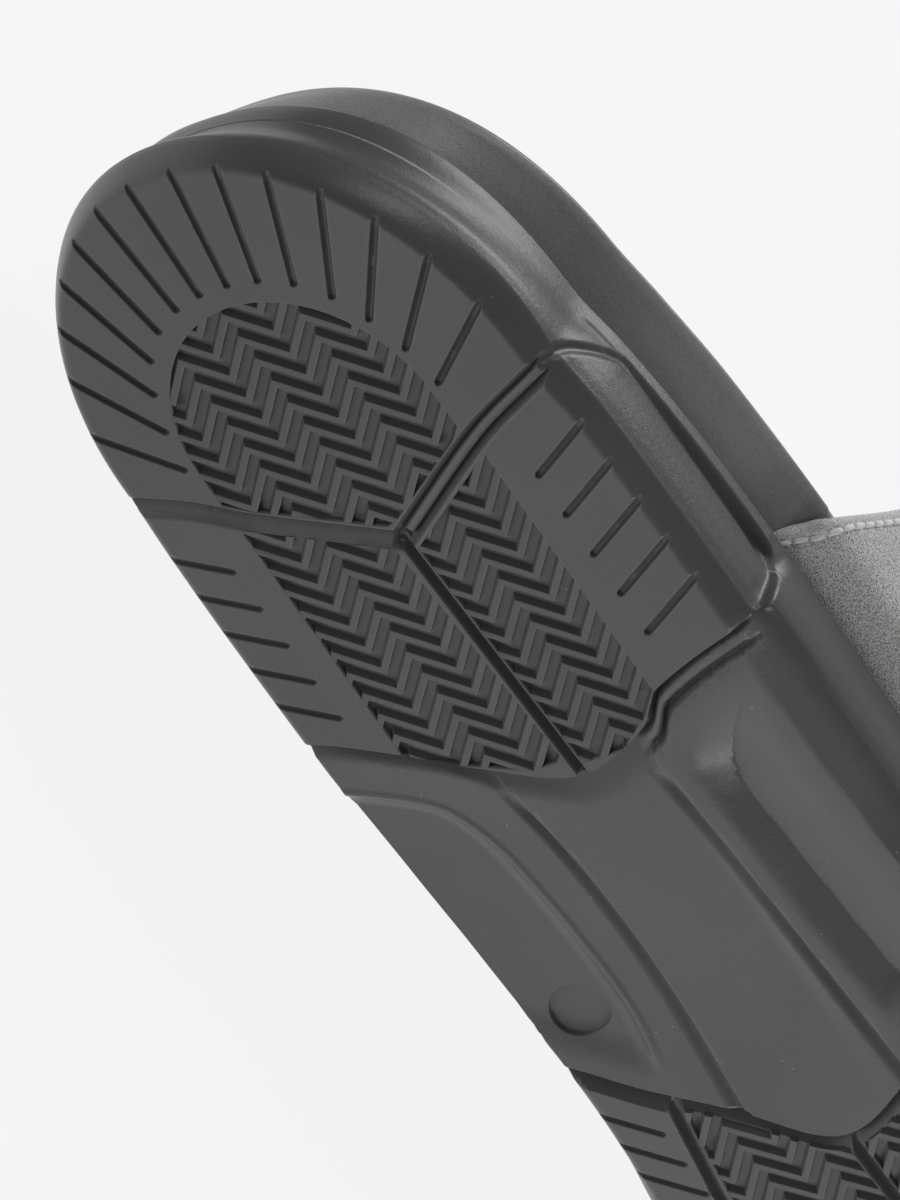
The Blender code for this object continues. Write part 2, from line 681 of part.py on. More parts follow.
outsole = make_outsole()
footbed = make_footbed()
cut(footbed, [slab("strap_room", *strap_grids(GAP))])
insole = make_insole()
strap = make_strap()
finish(outsole, (0.075, 0.075, 0.078), 0.6)
finish(footbed, (0.075, 0.075, 0.078), 0.65)
finish(insole, (0.16, 0.155, 0.15), 0.85)
finish(strap, (0.30, 0.29, 0.28), 0.8)
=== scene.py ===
# %% [markdown]
# # A slip-on sandal that shows its tread
# The sandal lies on its outer side, so the moulded tread turns towards the camera. The packed solids
# fix where every piece is. This lesson builds the fine surfaces over them: tread, wall, footbed, strap
# and stitching.

# %% Load the frame
import math

import bpy
import numpy as np
from mathutils import Matrix, Vector, geometry


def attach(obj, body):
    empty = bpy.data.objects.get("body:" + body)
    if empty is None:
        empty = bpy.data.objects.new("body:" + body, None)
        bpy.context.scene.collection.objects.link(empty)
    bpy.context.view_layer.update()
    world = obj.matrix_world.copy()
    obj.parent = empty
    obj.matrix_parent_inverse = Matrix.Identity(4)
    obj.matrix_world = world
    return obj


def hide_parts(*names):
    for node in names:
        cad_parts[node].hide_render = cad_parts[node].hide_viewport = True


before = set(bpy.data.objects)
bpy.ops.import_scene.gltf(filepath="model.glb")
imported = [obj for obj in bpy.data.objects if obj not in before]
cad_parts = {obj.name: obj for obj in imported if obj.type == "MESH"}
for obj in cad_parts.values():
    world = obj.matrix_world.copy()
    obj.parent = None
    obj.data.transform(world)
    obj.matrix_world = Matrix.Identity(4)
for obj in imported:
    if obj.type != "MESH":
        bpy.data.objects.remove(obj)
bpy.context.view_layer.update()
MM = 0.001

# %% [markdown]
# ## The last
# A sole is drawn from a last: three outlines in plan and a few heights along the foot. The tables below
# are in millimetres, upright: x runs from heel to toe, y to the outer side and z up from the tread.
# Reading a table with a smooth curve between its rows needs far fewer numbers than a list of points.

# %% Tables of the last
WIDTH_COLUMNS = ("x", "edge_out", "edge_in", "seat_out", "seat_in", "rim_out", "rim_in")
WIDTHS = (
    (0, 33.9, 37.1, 35.4, 40.5, 36.0, 45.4),
    (50, 34.2, 38.6, 37.4, 41.2, 36.2, 46.0),
    (62, 34.7, 40.2, 38.8, 43.2, 36.4, 47.6),
    (78, 35.0, 41.0, 39.6, 45.0, 36.6, 49.6),
    (105, 34.9, 41.6, 39.7, 46.4, 36.9, 51.2),
    (131, 34.2, 41.4, 38.4, 46.7, 38.4, 51.7),
    (152, 32.9, 40.8, 36.8, 46.6, 38.8, 51.4),
    (176, 31.2, 40.6, 35.4, 46.4, 38.7, 51.0),
    (196, 31.6, 42.0, 36.3, 47.4, 38.4, 51.4),
    (220, 33.8, 45.0, 39.6, 49.8, 39.5, 53.2),
    (245, 35.6, 46.8, 43.0, 51.6, 41.8, 54.2),
    (270, 36.0, 47.4, 43.4, 52.2, 42.4, 54.6),
    (295, 35.2, 47.4, 42.6, 52.2, 41.6, 54.6),
)
END_COLUMNS = ("heel", "heel_run", "heel_power_out", "heel_power_in", "toe", "toe_run", "toe_power")
ENDS = {
    "edge": (0.0, 48.0, 2.0, 2.0, 285.5, 74.0, 2.2),
    "seat": (2.5, 49.5, 2.0, 2.4, 290.0, 77.0, 2.2),
    "rim": (7.4, 51.0, 2.2, 2.4, 292.0, 79.0, 2.2),
}
HEIGHT_COLUMNS = ("x", "seat", "rim", "instep")
HEIGHTS = (
    (0, 17.5, 27.5, 106.0),
    (100, 17.5, 27.5, 102.0),
    (150, 17.0, 26.6, 90.0),
    (190, 15.4, 24.2, 76.5),
    (225, 14.0, 22.2, 65.0),
    (295, 13.0, 20.8, 54.0),
)
# Rise of the tread towards the toe, and the play between strap and sole.
SPRING_START, SPRING_END, SPRING_RISE = 204.0, 285.5, 9.0
GAP = 0.3


def along(columns, table, name, x):
    """Smooth reading of one column of a table, at many places at once."""
    rows = np.array(sorted(table), dtype=float)
    key, value = rows[:, 0], rows[:, columns.index(name)]
    x = np.asarray(x, dtype=float)
    i = np.clip(np.searchsorted(key, x, side="right") - 1, 0, len(key) - 2)
    before, after = np.maximum(i - 1, 0), np.minimum(i + 2, len(key) - 1)
    run = key[i + 1] - key[i]
    t = np.clip((x - key[i]) / run, 0, 1)
    m0 = (value[i + 1] - value[before]) / (key[i + 1] - key[before])
    m1 = (value[after] - value[i]) / (key[after] - key[i])
    bend = t * (1 - t) ** 2 * m0 - t * t * (1 - t) * m1
    return value[i] + (value[i + 1] - value[i]) * t * t * (3 - 2 * t) + run * bend


def height(name, x):
    return along(HEIGHT_COLUMNS, HEIGHTS, name, x)


def spring(x):
    return SPRING_RISE * (np.maximum(0.0, x - SPRING_START) / (SPRING_END - SPRING_START)) ** 2


def smooth(a, b, x):
    t = np.clip((x - a) / (b - a), 0, 1)
    return t * t * (3 - 2 * t)


print("Footbed seat at heel and toe:", height("seat", np.array([0, 290])).round(1))

# %% Outlines in plan


def end_round(level, x, inner):
    """Share of the full width that is left near the rounded heel and toe."""
    end = dict(zip(END_COLUMNS, ENDS[level]))
    heel_power = end["heel_power_in" if inner else "heel_power_out"]
    heel = np.clip(1 - (x - end["heel"]) / end["heel_run"], 0, 1)
    toe = np.clip(1 - (end["toe"] - x) / end["toe_run"], 0, 1)
    toe_power = end["toe_power"]
    heel_share = (1 - heel**heel_power) ** (1 / heel_power)
    return heel_share * (1 - toe**toe_power) ** (1 / toe_power)


def side(level, x, inner):
    """Distance y of an outline from the heel axis at x, on the inner or the outer side."""
    out = along(WIDTH_COLUMNS, WIDTHS, level + "_out", x)
    inn = -along(WIDTH_COLUMNS, WIDTHS, level + "_in", x)
    middle = (out + inn) / 2
    return middle + ((inn if inner else out) - middle) * end_round(level, x, inner)


def outward(points):
    """Unit normals of a closed plan outline, pointing out of it."""
    run = np.roll(points, -1, axis=0) - np.roll(points, 1, axis=0)
    run /= np.linalg.norm(run, axis=1)[:, None]
    return np.stack([run[:, 1], -run[:, 0]], axis=1)


def outline(level, turns):
    """Closed plan outline from the heel along the inner side to the toe and back along the outer side."""
    heel, toe = ENDS[level][0], ENDS[level][4]
    x = heel + (toe - heel) * (1 - np.cos(turns)) / 2
    y = np.where(turns < math.pi, side(level, x, True), side(level, x, False))
    return np.stack([x, y], axis=1)


def grown(points, amount):
    return points + outward(points) * np.reshape(amount, (-1, 1))


def turn_at(x, inner):
    turn = math.acos(1 - 2 * x / ENDS["edge"][4])
    return turn if inner else 2 * math.pi - turn


seat_width = side("seat", 190.0, False) - side("seat", 190.0, True)
print("Seat's width 190 mm from the heel:", round(float(seat_width), 1), "mm")

# %% Stations around the sole
# Even ones, and close ones where a groove crosses the inner wall or the strap begins.
EVEN_STATIONS, LEAST_TURN = 560, 0.0016
CLOSE_RUNS = ((47.0, 64.0, 44, True), (96.0, 111.0, 40, True), (96.5, 104.0, 12, False))
turns = list(np.linspace(0, 2 * math.pi, EVEN_STATIONS, endpoint=False))
for first, last, count, inner in CLOSE_RUNS:
    turns += [turn_at(x, inner) for x in np.linspace(first, last, count)]
turns = np.unique(np.round(turns, 6))
turns = turns[np.concatenate([[True], np.diff(turns) > LEAST_TURN])]
print("Stations around the sole:", len(turns))

# %% [markdown]
# ## From the last to the floor
# The real sandal lies on its outer side. Every mesh is worked out upright, where the numbers are easy
# to read, and is then turned and shifted once. The object itself stays at the origin, so a pattern in
# Object coordinates keeps its place.

# %% Laying the pieces down
LIE_YAW, LIE_ROLL = -0.28, -90.13
FLOOR_SHIFT = (-144.9, -45.21, 40.364)
turned = Matrix.Rotation(math.radians(LIE_ROLL), 4, "X") @ Matrix.Rotation(math.radians(LIE_YAW), 4, "Z")
LIE = np.array(turned)[:3, :3]


def laid(points):
    return (np.asarray(points) @ LIE.T + np.array(FLOOR_SHIFT)) * MM


def linked(name, data):
    """An object for a mesh, a lamp or a camera, in the scene."""
    piece = bpy.data.objects.new(name, data)
    bpy.context.scene.collection.objects.link(piece)
    return piece


def plain_mesh(name, points, faces, edges=()):
    """A mesh of the points as they are given."""
    mesh = bpy.data.meshes.new(name)
    mesh.from_pydata(points, edges, faces)
    return mesh


def new_piece(name, points, faces, material):
    """A mesh object from upright points in millimetres."""
    mesh = plain_mesh(name, laid(points).tolist(), faces)
    mesh.shade_smooth()
    mesh.update()
    mesh.materials.append(material)
    return linked(name, mesh)


print("Upright axis after laying down:", (LIE @ np.array([0, 0, 1])).round(3))

# %% Rings and skins


def cap(ring, first, upward):
    """Triangles that close a ring of points, numbered from first."""
    n = len(ring)
    loop = [(i, (i + 1) % n) for i in range(n)]
    filled = geometry.delaunay_2d_cdt([Vector(p[:2]) for p in ring], loop, [], 1, 1e-6)
    back = [orig[0] for orig in filled[3]]
    order = (0, 1, 2) if upward else (2, 1, 0)
    return [tuple(first + back[face[k]] for k in order) for face in filled[2]]


def loft(rings, closed=(True, True)):
    """Points and faces of a skin through rings that run upwards, closed at its ends where asked."""
    n = len(rings[0])
    faces = []
    for k in range(len(rings) - 1):
        for i in range(n):
            j = (i + 1) % n
            faces.append((k * n + i, k * n + j, (k + 1) * n + j, (k + 1) * n + i))
    if closed[0]:
        faces += cap(rings[0], 0, False)
    if closed[1]:
        faces += cap(rings[-1], (len(rings) - 1) * n, True)
    return np.concatenate(rings), faces


def raised(flat, rise):
    """Plan points at a height above the tread, which rises towards the toe."""
    return np.column_stack([flat, rise + spring(flat[:, 0])])


print("Rise of the tread at the toe in mm:", round(float(spring(SPRING_END)), 1))

# %% [markdown]
# ## Shader sums in plain Python
# A finish is a chain of nodes. Wrapping a socket in a small class lets a formula such as 1 - mask add
# its own Math nodes. Any other node comes from one method: its settings first, then the values or links
# of its sockets.

# %% A class for shader sums


class Wire:
    """An output socket in a node tree that works in sums."""

    def __init__(self, tree, socket):
        self.tree = tree
        self.socket = socket

    @classmethod
    def node(cls, tree, kind, settings=None, values=None, out=0):
        made = tree.nodes.new(kind)
        for name, value in (settings or {}).items():
            setattr(made, name, value)
        for name, value in (values or {}).items():
            if isinstance(value, Wire):
                tree.links.new(value.socket, made.inputs[name])
            else:
                made.inputs[name].default_value = value
        return cls(tree, made.outputs[out])

    def sum(self, operation, first, second):
        return Wire.node(self.tree, "ShaderNodeMath", {"operation": operation}, {0: first, 1: second})

    def __add__(self, other):
        return self.sum("ADD", self, other)

    __radd__ = __add__

    def __sub__(self, other):
        return self.sum("SUBTRACT", self, other)

    def __rsub__(self, other):
        return self.sum("SUBTRACT", other, self)

    def __mul__(self, other):
        return self.sum("MULTIPLY", self, other)

    __rmul__ = __mul__

    def over(self, low, high):
        """A soft step from 0 at low to 1 at high."""
        values = {"Value": self, "From Min": low, "From Max": high}
        return Wire.node(self.tree, "ShaderNodeMapRange", {"interpolation_type": "SMOOTHSTEP"}, values)

    def colours(self, first, second):
        """A colour between two others, by this wire."""
        values = {MIX_FACTOR: self, MIX_A: opaque(first), MIX_B: opaque(second)}
        return Wire.node(self.tree, "ShaderNodeMix", {"data_type": "RGBA"}, values, MIX_RESULT)


# Socket numbers of a colour Mix node: its A and B share their names with those for other kinds of value.
MIX_FACTOR, MIX_A, MIX_B, MIX_RESULT = 0, 6, 7, 2


def opaque(colour):
    """A colour with its alpha, or the wire that brings one."""
    return colour if isinstance(colour, Wire) else (*colour, 1.0)


print("Shader sums:", [name for name in vars(Wire) if not name.startswith("__")])

# %% Helpers for a finish


def blank(name):
    """A new material with its tree and its main shader."""
    material = bpy.data.materials.new(name)
    material.use_nodes = True
    tree = material.node_tree
    return material, tree, tree.nodes["Principled BSDF"]


def feed(tree, shader, **wires):
    """Links wires to the shader's sockets: colour, roughness, normal."""
    names = {"colour": "Base Color", "roughness": "Roughness", "normal": "Normal"}
    for key, wire in wires.items():
        tree.links.new(wire.socket, shader.inputs[names[key]])


def noise(tree, place, scale, detail=2.0, rough=0.5):
    values = {"Vector": place, "Scale": scale, "Detail": detail, "Roughness": rough}
    return Wire.node(tree, "ShaderNodeTexNoise", values=values)


def bump(tree, relief, distance):
    values = {"Height": relief, "Distance": distance, "Strength": 1.0}
    return Wire.node(tree, "ShaderNodeBump", values=values)


def object_place(tree):
    return Wire.node(tree, "ShaderNodeTexCoord", out="Object")


def cells(tree, place, scale):
    """Distance to the nearest of many scattered points."""
    values = {"Vector": place, "Scale": scale}
    return Wire.node(tree, "ShaderNodeTexVoronoi", values=values, out="Distance")


print("Helpers ready for", bpy.app.version_string)

# %% [markdown]
# ## Finishes
# The outsole and the footbed are dark moulded rubber with a faint mould grain and a few light specks of
# dust; the footbed's copy is painted lighter, a painted light for the light that falls on its wall. The
# strap is pale brushed leather with a painted highlight on its turned edges, and the insole is a darker
# leather. Each finish is noise at two or three scales, which drives its colour, its roughness and a shallow
# bump.

# %% Rubber
DUST = (0.34, 0.34, 0.33)


def moulded_rubber(name, low, high, grain, speck_limit):
    """Dark rubber: cloudy tone, fine grain and sparse light specks."""
    material, tree, shader = blank(name)
    place = object_place(tree)
    cloud = noise(tree, place, 26.0, 3.0)
    fine = noise(tree, place, 2600.0, 3.0, 0.7)
    dots = cells(tree, place, 520.0)
    chosen = noise(tree, place, 330.0, 1.0).over(speck_limit, speck_limit + 0.03)
    speck = (1 - dots.over(0.04, 0.10)) * chosen
    tone = cloud * 0.55 + fine * 0.45
    body = tone.over(0.3, 0.7).colours(low, high)
    colour = speck.colours(body, DUST)
    relief = fine + noise(tree, place, 900.0) * 0.8
    roughness = 0.27 + 0.14 * fine + 0.25 * speck
    feed(tree, shader, colour=colour, roughness=roughness, normal=bump(tree, relief, grain))
    shader.inputs["Specular IOR Level"].default_value = 0.42
    return material


RUBBER = moulded_rubber("moulded_rubber", (0.088, 0.088, 0.090), (0.108, 0.108, 0.110), 0.00004, 0.66)
# The footbed is the outsole's dark rubber painted lighter: painted light for the light that falls on the
# footbed's wall.
FOOTBED_RUBBER_PAINTED_LIGHT = moulded_rubber("speckled_footbed_painted_light", (0.19, 0.19, 0.191), (0.33, 0.33, 0.33), 0.00006, 0.58)
print("Rubber finishes:", RUBBER.name, FOOTBED_RUBBER_PAINTED_LIGHT.name)

# %% Leather and thread
# Pale colour of the painted highlight on the strap's turned edges, for the light the rolled edge catches from
# above.
PAINTED_EDGE_HIGHLIGHT = (0.9, 0.9, 0.89)


def brushed_leather(name, low, high, nap):
    """Soft leather: short nap, broad rubbed patches and a fine grain."""
    material, tree, shader = blank(name)
    place = object_place(tree)
    patch = noise(tree, place, 38.0, 4.0, 0.6)
    fibre = noise(tree, place, 3200.0, 3.0, 0.7)
    pebble = 1 - cells(tree, place, 4200.0)
    tone = (patch * 0.1 + fibre * 0.3 + pebble * 0.6).over(0.3, 0.72)
    relief = pebble + fibre * 0.4
    turned = Wire.node(tree, "ShaderNodeAttribute", {"attribute_name": "turned_edge"}, out="Fac")
    # The turned edges are mixed towards a pale colour: a painted highlight, not a change in the leather.
    colour = (0.35 * turned).colours(tone.colours(low, high), PAINTED_EDGE_HIGHLIGHT)
    feed(tree, shader, colour=colour, roughness=0.78 + 0.16 * fibre, normal=bump(tree, relief, nap))
    return material


def thread_finish(name, low, high):
    """Waxed thread with a slight change of tone from stitch to stitch."""
    material, tree, shader = blank(name)
    place = object_place(tree)
    twist = noise(tree, place, 900.0)
    feed(tree, shader, colour=twist.over(0.3, 0.7).colours(low, high), roughness=0.55 + 0.2 * twist)
    return material


NAPPED = brushed_leather("brushed_strap", (0.36, 0.357, 0.354), (0.98, 0.975, 0.97), 0.00018)
INSOLE_LEATHER = brushed_leather("insole_leather", (0.13, 0.125, 0.12), (0.19, 0.185, 0.18), 0.00010)
THREAD = thread_finish("pale_thread", (0.84, 0.84, 0.83), (0.94, 0.94, 0.93))
print("Finishes:", [m.name for m in bpy.data.materials])

# %% [markdown]
# ## The tread as a height field
# The underside is moulded: slots around the edge, herringbone fields, a forked groove under the heel
# and a hollowed arch. It could be cut with many Booleans, but each cut would leave sharp edges. Here
# the height of the underside is one function of the plan place, and the mesh gets its points along the
# lines where that function bends.

# %% Profiles of bevel, slots and grooves
# Rise of the bevel from its start to its top: rounded at the back of the heel, straight along the inner side.
BEVEL_COLUMNS = ("share", "round", "straight")
BEVEL = (
    (0.0, 0.0, 0.0),
    (0.06, 0.0, 0.006),
    (0.12, 0.004, 0.025),
    (0.2, 0.012, 0.07),
    (0.32, 0.036, 0.175),
    (0.47, 0.107, 0.325),
    (0.63, 0.259, 0.495),
    (0.8, 0.5, 0.68),
    (0.93, 0.768, 0.855),
    (1.0, 1.0, 1.0),
)
# Bevel along the inner side: start and end outside the tread outline, its top, and how straight it is.
INNER_COLUMNS = ("x", "start", "out", "top", "straight")
INNER = (
    (0, -0.8, 2.2, 5.6, 0.0),
    (16, -0.9, 2.4, 5.2, 0.4),
    (38, -1.4, 2.8, 4.4, 1.0),
    (52, -1.7, 2.4, 3.4, 1.0),
    (62, -1.7, 2.3, 3.0, 1.0),
    (101, -1.7, 2.4, 3.0, 1.0),
    (104.6, -1.8, 2.5, 3.1, 1.0),
    (107, -3.4, 3.4, 4.4, 1.0),
    (112, -6.0, 3.8, 5.0, 1.0),
    (125, -6.6, 4.2, 5.3, 1.0),
    (144, -5.2, 4.9, 5.6, 1.0),
    (158, -3.0, 4.8, 5.4, 1.0),
    (180, -1.4, 4.4, 4.6, 1.0),
    (200, -1.2, 3.6, 4.0, 1.0),
    (270, -0.9, 2.8, 4.4, 0.6),
    (286, -0.8, 2.2, 5.6, 0.0),
)
SEAT_HEIGHT = 17.5
# Depths by distance from the middle: a slot, the ribbed and the sloped channel, a narrow and a plain groove.
SLOT = (
    (0.0, 0.78),
    (0.3, 0.72),
    (0.48, 0.52),
    (0.58, 0.26),
    (0.66, 0.08),
    (0.75, 0.02),
    (0.9, 0.0),
    (1.05, 0.0),
)
RIBBED = (
    (0.0, 0.7),
    (0.6, 0.74),
    (0.78, 1.0),
    (0.92, 1.6),
    (1.05, 1.66),
    (1.5, 1.05),
    (1.9, 0.3),
    (2.1, 0.06),
    (2.35, 0.0),
    (2.5, 0.0),
)
SLOPED = (
    (-2.55, 0.0),
    (-2.4, 0.0),
    (-2.15, 0.05),
    (-1.9, 0.2),
    (-0.4, 0.8),
    (0.7, 1.5),
    (1.05, 1.9),
    (1.3, 1.8),
    (1.5, 1.0),
    (1.65, 0.2),
    (1.85, 0.0),
    (2.0, 0.0),
)
NARROW = ((0.0, 1.9), (0.35, 1.8), (0.6, 1.3), (0.8, 0.6), (0.95, 0.15), (1.1, 0.0), (1.25, 0.0))
PLAIN = ((0.0, 2.2), (0.45, 2.1), (0.8, 1.6), (1.05, 0.8), (1.2, 0.2), (1.4, 0.0), (1.55, 0.0))


def profile(table, off):
    """Depth of a groove at a distance from its middle; a table from zero on serves both sides."""
    key, value = np.array(table).T
    return np.interp(np.abs(off) if key[0] == 0 else off, key, value)


print("Deepest slot and groove in mm:", max(depth for off, depth in SLOT), max(depth for off, depth in PLAIN))

# %% Bevel around the sole
edge_line = outline("edge", turns)
edge_normal = outward(edge_line)
on_inner = turns < math.pi


def bevel_size(name, x, inner):
    """Start, width, top or straightness of the bevel at places along the outline."""
    return along(INNER_COLUMNS, INNER, name, np.where(inner, x, 0.0))


edge_x = edge_line[:, 0]
BEVEL_START, BEVEL_OUT, BEVEL_TOP = (bevel_size(name, edge_x, on_inner) for name in INNER_COLUMNS[1:4])


def bevel(share, x, inner):
    """Height of the tread edge, by share of the bevel's width at places along the outline."""
    rise = [along(BEVEL_COLUMNS, BEVEL, name, share) for name in ("round", "straight")]
    rise = rise[0] + (rise[1] - rise[0]) * bevel_size("straight", x, inner)
    return rise * bevel_size("top", x, inner) * height("seat", x) / SEAT_HEIGHT


print("Bevel at the heel and along the block, mm out:", BEVEL_OUT[[0, 150]].round(2))

# %% Slots and grooves in plan
# Slots of the heel's rim, mirrored to both sides: outer end, then inner end.
HEEL_SLOTS = (
    (1.0, 3.75, 20.8, 2.5),
    (2.7, 10.6, 21.8, 7.4),
    (6.1, 17.2, 24.3, 12.3),
    (11.4, 23.3, 28.5, 16.5),
    (18.7, 28.5, 34.1, 19.6),
    (27.9, 32.1, 40.8, 21.9),
    (38.0, 34.8, 48.1, 23.2),
)
HEEL_SLOT_SHIFT = -1.9
SIDE_COLUMNS = ("count", "inner_x", "inner_y", "outer_x", "outer_y", "pitch")
SIDE_SLOTS = (
    (5, 67.8, 27.1, 62.4, 35.0, 7.75),
    (5, 68.7, -28.4, 62.1, -40.6, 8.05),
    (7, 192.8, 23.8, 186.2, 31.4, 6.95),
    (8, 196.0, -29.0, 190.0, -41.5, 7.4),
)
TOE_SLOTS, TOE_FAN, TOE_MIDDLE = 9, 66.0, (247.0, -6.3)
TOE_INNER, TOE_OUTER = (17.0, 24.0), (46.0, 50.0)
SLOT_RUN_OUT = 0.45
FORK = (72.0, -1.8)
GROOVES = {
    "outer_branch": (SLOPED, ((49.0, 40.0), (55.0, 27.0), (60.5, 18.8), FORK)),
    "inner_branch": (RIBBED, ((48.6, -46.0), (52.7, -37.0), (58.8, -23.4), FORK)),
    "centre": (NARROW, (FORK, (96.0, -2.8), (121.6, -3.9))),
    "fore_outer": (
        PLAIN,
        ((188.5, 19.2), (200.0, 20.9), (210.0, 22.2), (225.0, 22.6), (240.0, 21.0), (252.0, 17.5)),
    ),
    "fore_inner": (PLAIN, ((192.0, -25.2), (205.0, -26.8), (225.0, -28.6), (240.0, -28.4), (252.0, -25.5))),
    "fore_middle": (PLAIN, ((205.2, -5.4), (218.0, -5.6), (235.0, -6.0), (258.0, -6.6))),
}


def slot_lines():
    """Start and end of every slot in plan."""
    lines = []
    for ox, oy, ix, iy in HEEL_SLOTS:
        for sign in (1, -1):
            lines.append(((ix, sign * iy), (ox, sign * oy + HEEL_SLOT_SHIFT)))
    for row in SIDE_SLOTS:
        line = dict(zip(SIDE_COLUMNS, row))
        for i in range(line["count"]):
            shift = line["pitch"] * i
            inner = (line["inner_x"] + shift, line["inner_y"])
            lines.append((inner, (line["outer_x"] + shift, line["outer_y"])))
    for turn in np.radians(np.linspace(-TOE_FAN, TOE_FAN, TOE_SLOTS)):
        ends = []
        for reach in (TOE_INNER, TOE_OUTER):
            ahead = TOE_MIDDLE[0] + reach[0] * math.cos(turn)
            ends.append((ahead, TOE_MIDDLE[1] + reach[1] * math.sin(turn)))
        lines.append(tuple(ends))
    return [(np.array(a), np.array(b)) for a, b in lines]


print("Slots drawn:", len(slot_lines()))

# %% Distances from lines and from the edge
FAR, BATCH = 1e9, 2000


def eased(points, pitch=1.0):
    """A smooth curve through a few plan points, read at an even pitch."""
    points = np.array(points, dtype=float)
    reach = np.concatenate([[0], np.cumsum(np.linalg.norm(np.diff(points, axis=0), axis=1))])
    steps = np.linspace(0, reach[-1], int(reach[-1] / pitch) + 2)
    columns = [along(("s", "v"), tuple(zip(reach, points[:, k])), "v", steps) for k in (0, 1)]
    return np.stack(columns, axis=1)


def off_path(points, path):
    """Signed distance of points from a path, positive on its right-hand side."""
    best = np.full(len(points), FAR)
    sign = np.ones(len(points))
    for a, b in zip(path[:-1], path[1:]):
        run = b - a
        away = points - a
        t = np.clip(away @ run / (run @ run), 0, 1)
        gap = np.linalg.norm(away - t[:, None] * run, axis=1)
        nearer = gap < best
        best[nearer] = gap[nearer]
        sign[nearer] = np.sign(away[nearer, 0] * run[1] - away[nearer, 1] * run[0])
    return best * np.where(sign == 0, 1, sign)


def outside(points):
    """Share of the bevel at plan points, with the nearest station and its x.

    The share is negative on the flat tread and 1 at the top of the bevel.
    """
    share, nearest_x = np.empty(len(points)), np.empty(len(points))
    station = np.empty(len(points), dtype=int)
    for first in range(0, len(points), BATCH):
        rows = slice(first, first + BATCH)
        part = points[rows]
        away = part[:, None, :] - edge_line[None, :, :]
        nearest = np.argmin((away**2).sum(axis=2), axis=1)
        gap, x = np.full(len(part), FAR), np.zeros(len(part))
        for shift in (-1, 0):
            a = edge_line[(nearest + shift) % len(turns)]
            b = edge_line[(nearest + shift + 1) % len(turns)]
            t = np.clip(((part - a) * (b - a)).sum(axis=1) / ((b - a) ** 2).sum(axis=1), 0, 1)
            foot = a + t[:, None] * (b - a)
            reach = np.linalg.norm(part - foot, axis=1)
            x = np.where(reach < gap, foot[:, 0], x)
            gap = np.minimum(gap, reach)
        turn_out = ((part - edge_line[nearest]) * edge_normal[nearest]).sum(axis=1)
        out = gap * np.where(turn_out < 0, -1, 1)
        start, end = (bevel_size(name, x, on_inner[nearest]) for name in ("start", "out"))
        share[rows] = (out - start) / (end - start)
        nearest_x[rows] = x
        station[rows] = nearest
    return share, station, nearest_x


def run_out(start, end):
    """A slot's end moved to where it has run out on the bevel."""
    line = np.linspace(0.4, 1.6, 80)[:, None] * (end - start) + start
    inside = outside(line)[0] < SLOT_RUN_OUT
    return line[np.flatnonzero(inside)[-1]]


slots = [(start, run_out(start, end)) for start, end in slot_lines()]
paths = {name: eased(points) for name, (table, points) in GROOVES.items()}
print("Slots:", len(slots), "grooves:", list(paths))

# %% Herringbone fields in plan
# Where the arch begins and ends along the sole, by place across it.
ARCH_COLUMNS = ("y", "rear", "front")
ARCH = (
    (60, 100.0, 168.0),
    (36, 101.5, 172.8),
    (22, 108.5, 184.0),
    (11, 115.5, 192.0),
    (-3, 122.0, 203.0),
    (-18, 117.0, 197.0),
    (-23, 111.5, 190.0),
    (-46, 104.0, 182.0),
    (-60, 102.0, 180.0),
)
FIELD_DEPTH = 1.15
FIELD_EDGE = 0.28
HEEL_FIELD = {"middle": 50.0, "length": 25.6, "half": 21.4}
HEEL_FIELD_FRONT = ((56.2, 21.4), (58.7, 17.9), (68.9, -0.9), (68.6, -2.6), (57.0, -21.6))
FIELDS = {
    "outer_field": (
        ((61.6, 21.3), (108.6, 21.6), (113.5, 14.4), (118.6, 3.6)),
        ((61.6, 21.0), (73.3, 0.2), (118.6, -2.5)),
    ),
    "inner_field": (
        ((63.6, -20.2), (74.2, -3.2), (120.0, -5.1)),
        ((62.4, -22.7), (111.2, -23.2), (115.0, -19.8), (120.0, -12.4)),
    ),
    "fore_outer_field": (
        ((210, 20.4), (225, 20.9), (240, 19.3), (253, 14.0)),
        ((225, -4.4), (253, -5.2)),
    ),
    "fore_inner_field": (
        ((225, -7.0), (253, -7.8)),
        ((215, -26.6), (230, -27.4), (240, -26.8), (253, -22.0)),
    ),
}
# Rear border of the forefoot fields: how far it is past the arch, and the range across the sole.
FORE_REAR = 2.5
FORE_RANGES = {"fore_outer_field": (18.0, -3.9), "fore_inner_field": (-6.7, -25.6)}


def arch_ends(y):
    rear = along(ARCH_COLUMNS, ARCH, "rear", y)
    return rear, along(ARCH_COLUMNS, ARCH, "front", y)


print("Arch along the middle, from and to in mm:", [round(float(v), 1) for v in arch_ends(0.0)])

# %% Field outlines


def field_outlines():
    """Closed plan outline of each sunken herringbone field."""
    outlines = {}
    turns_back = np.radians(np.linspace(-90, 90, 31))
    arc_x = HEEL_FIELD["middle"] - HEEL_FIELD["length"] * np.cos(turns_back)
    arc_y = HEEL_FIELD["half"] * np.sin(turns_back)
    arc = np.stack([arc_x, arc_y], axis=1)
    outlines["heel_field"] = np.concatenate([arc, np.array(HEEL_FIELD_FRONT)])
    for name, (outer, inner) in FIELDS.items():
        outlines[name] = np.array(outer + inner[::-1], dtype=float)
    for name, (first, last) in FORE_RANGES.items():
        across = np.linspace(last, first, 12)
        rear = np.stack([arch_ends(across)[1] + FORE_REAR, across], axis=1)
        outlines[name] = np.concatenate([rear, outlines[name]])
    return outlines


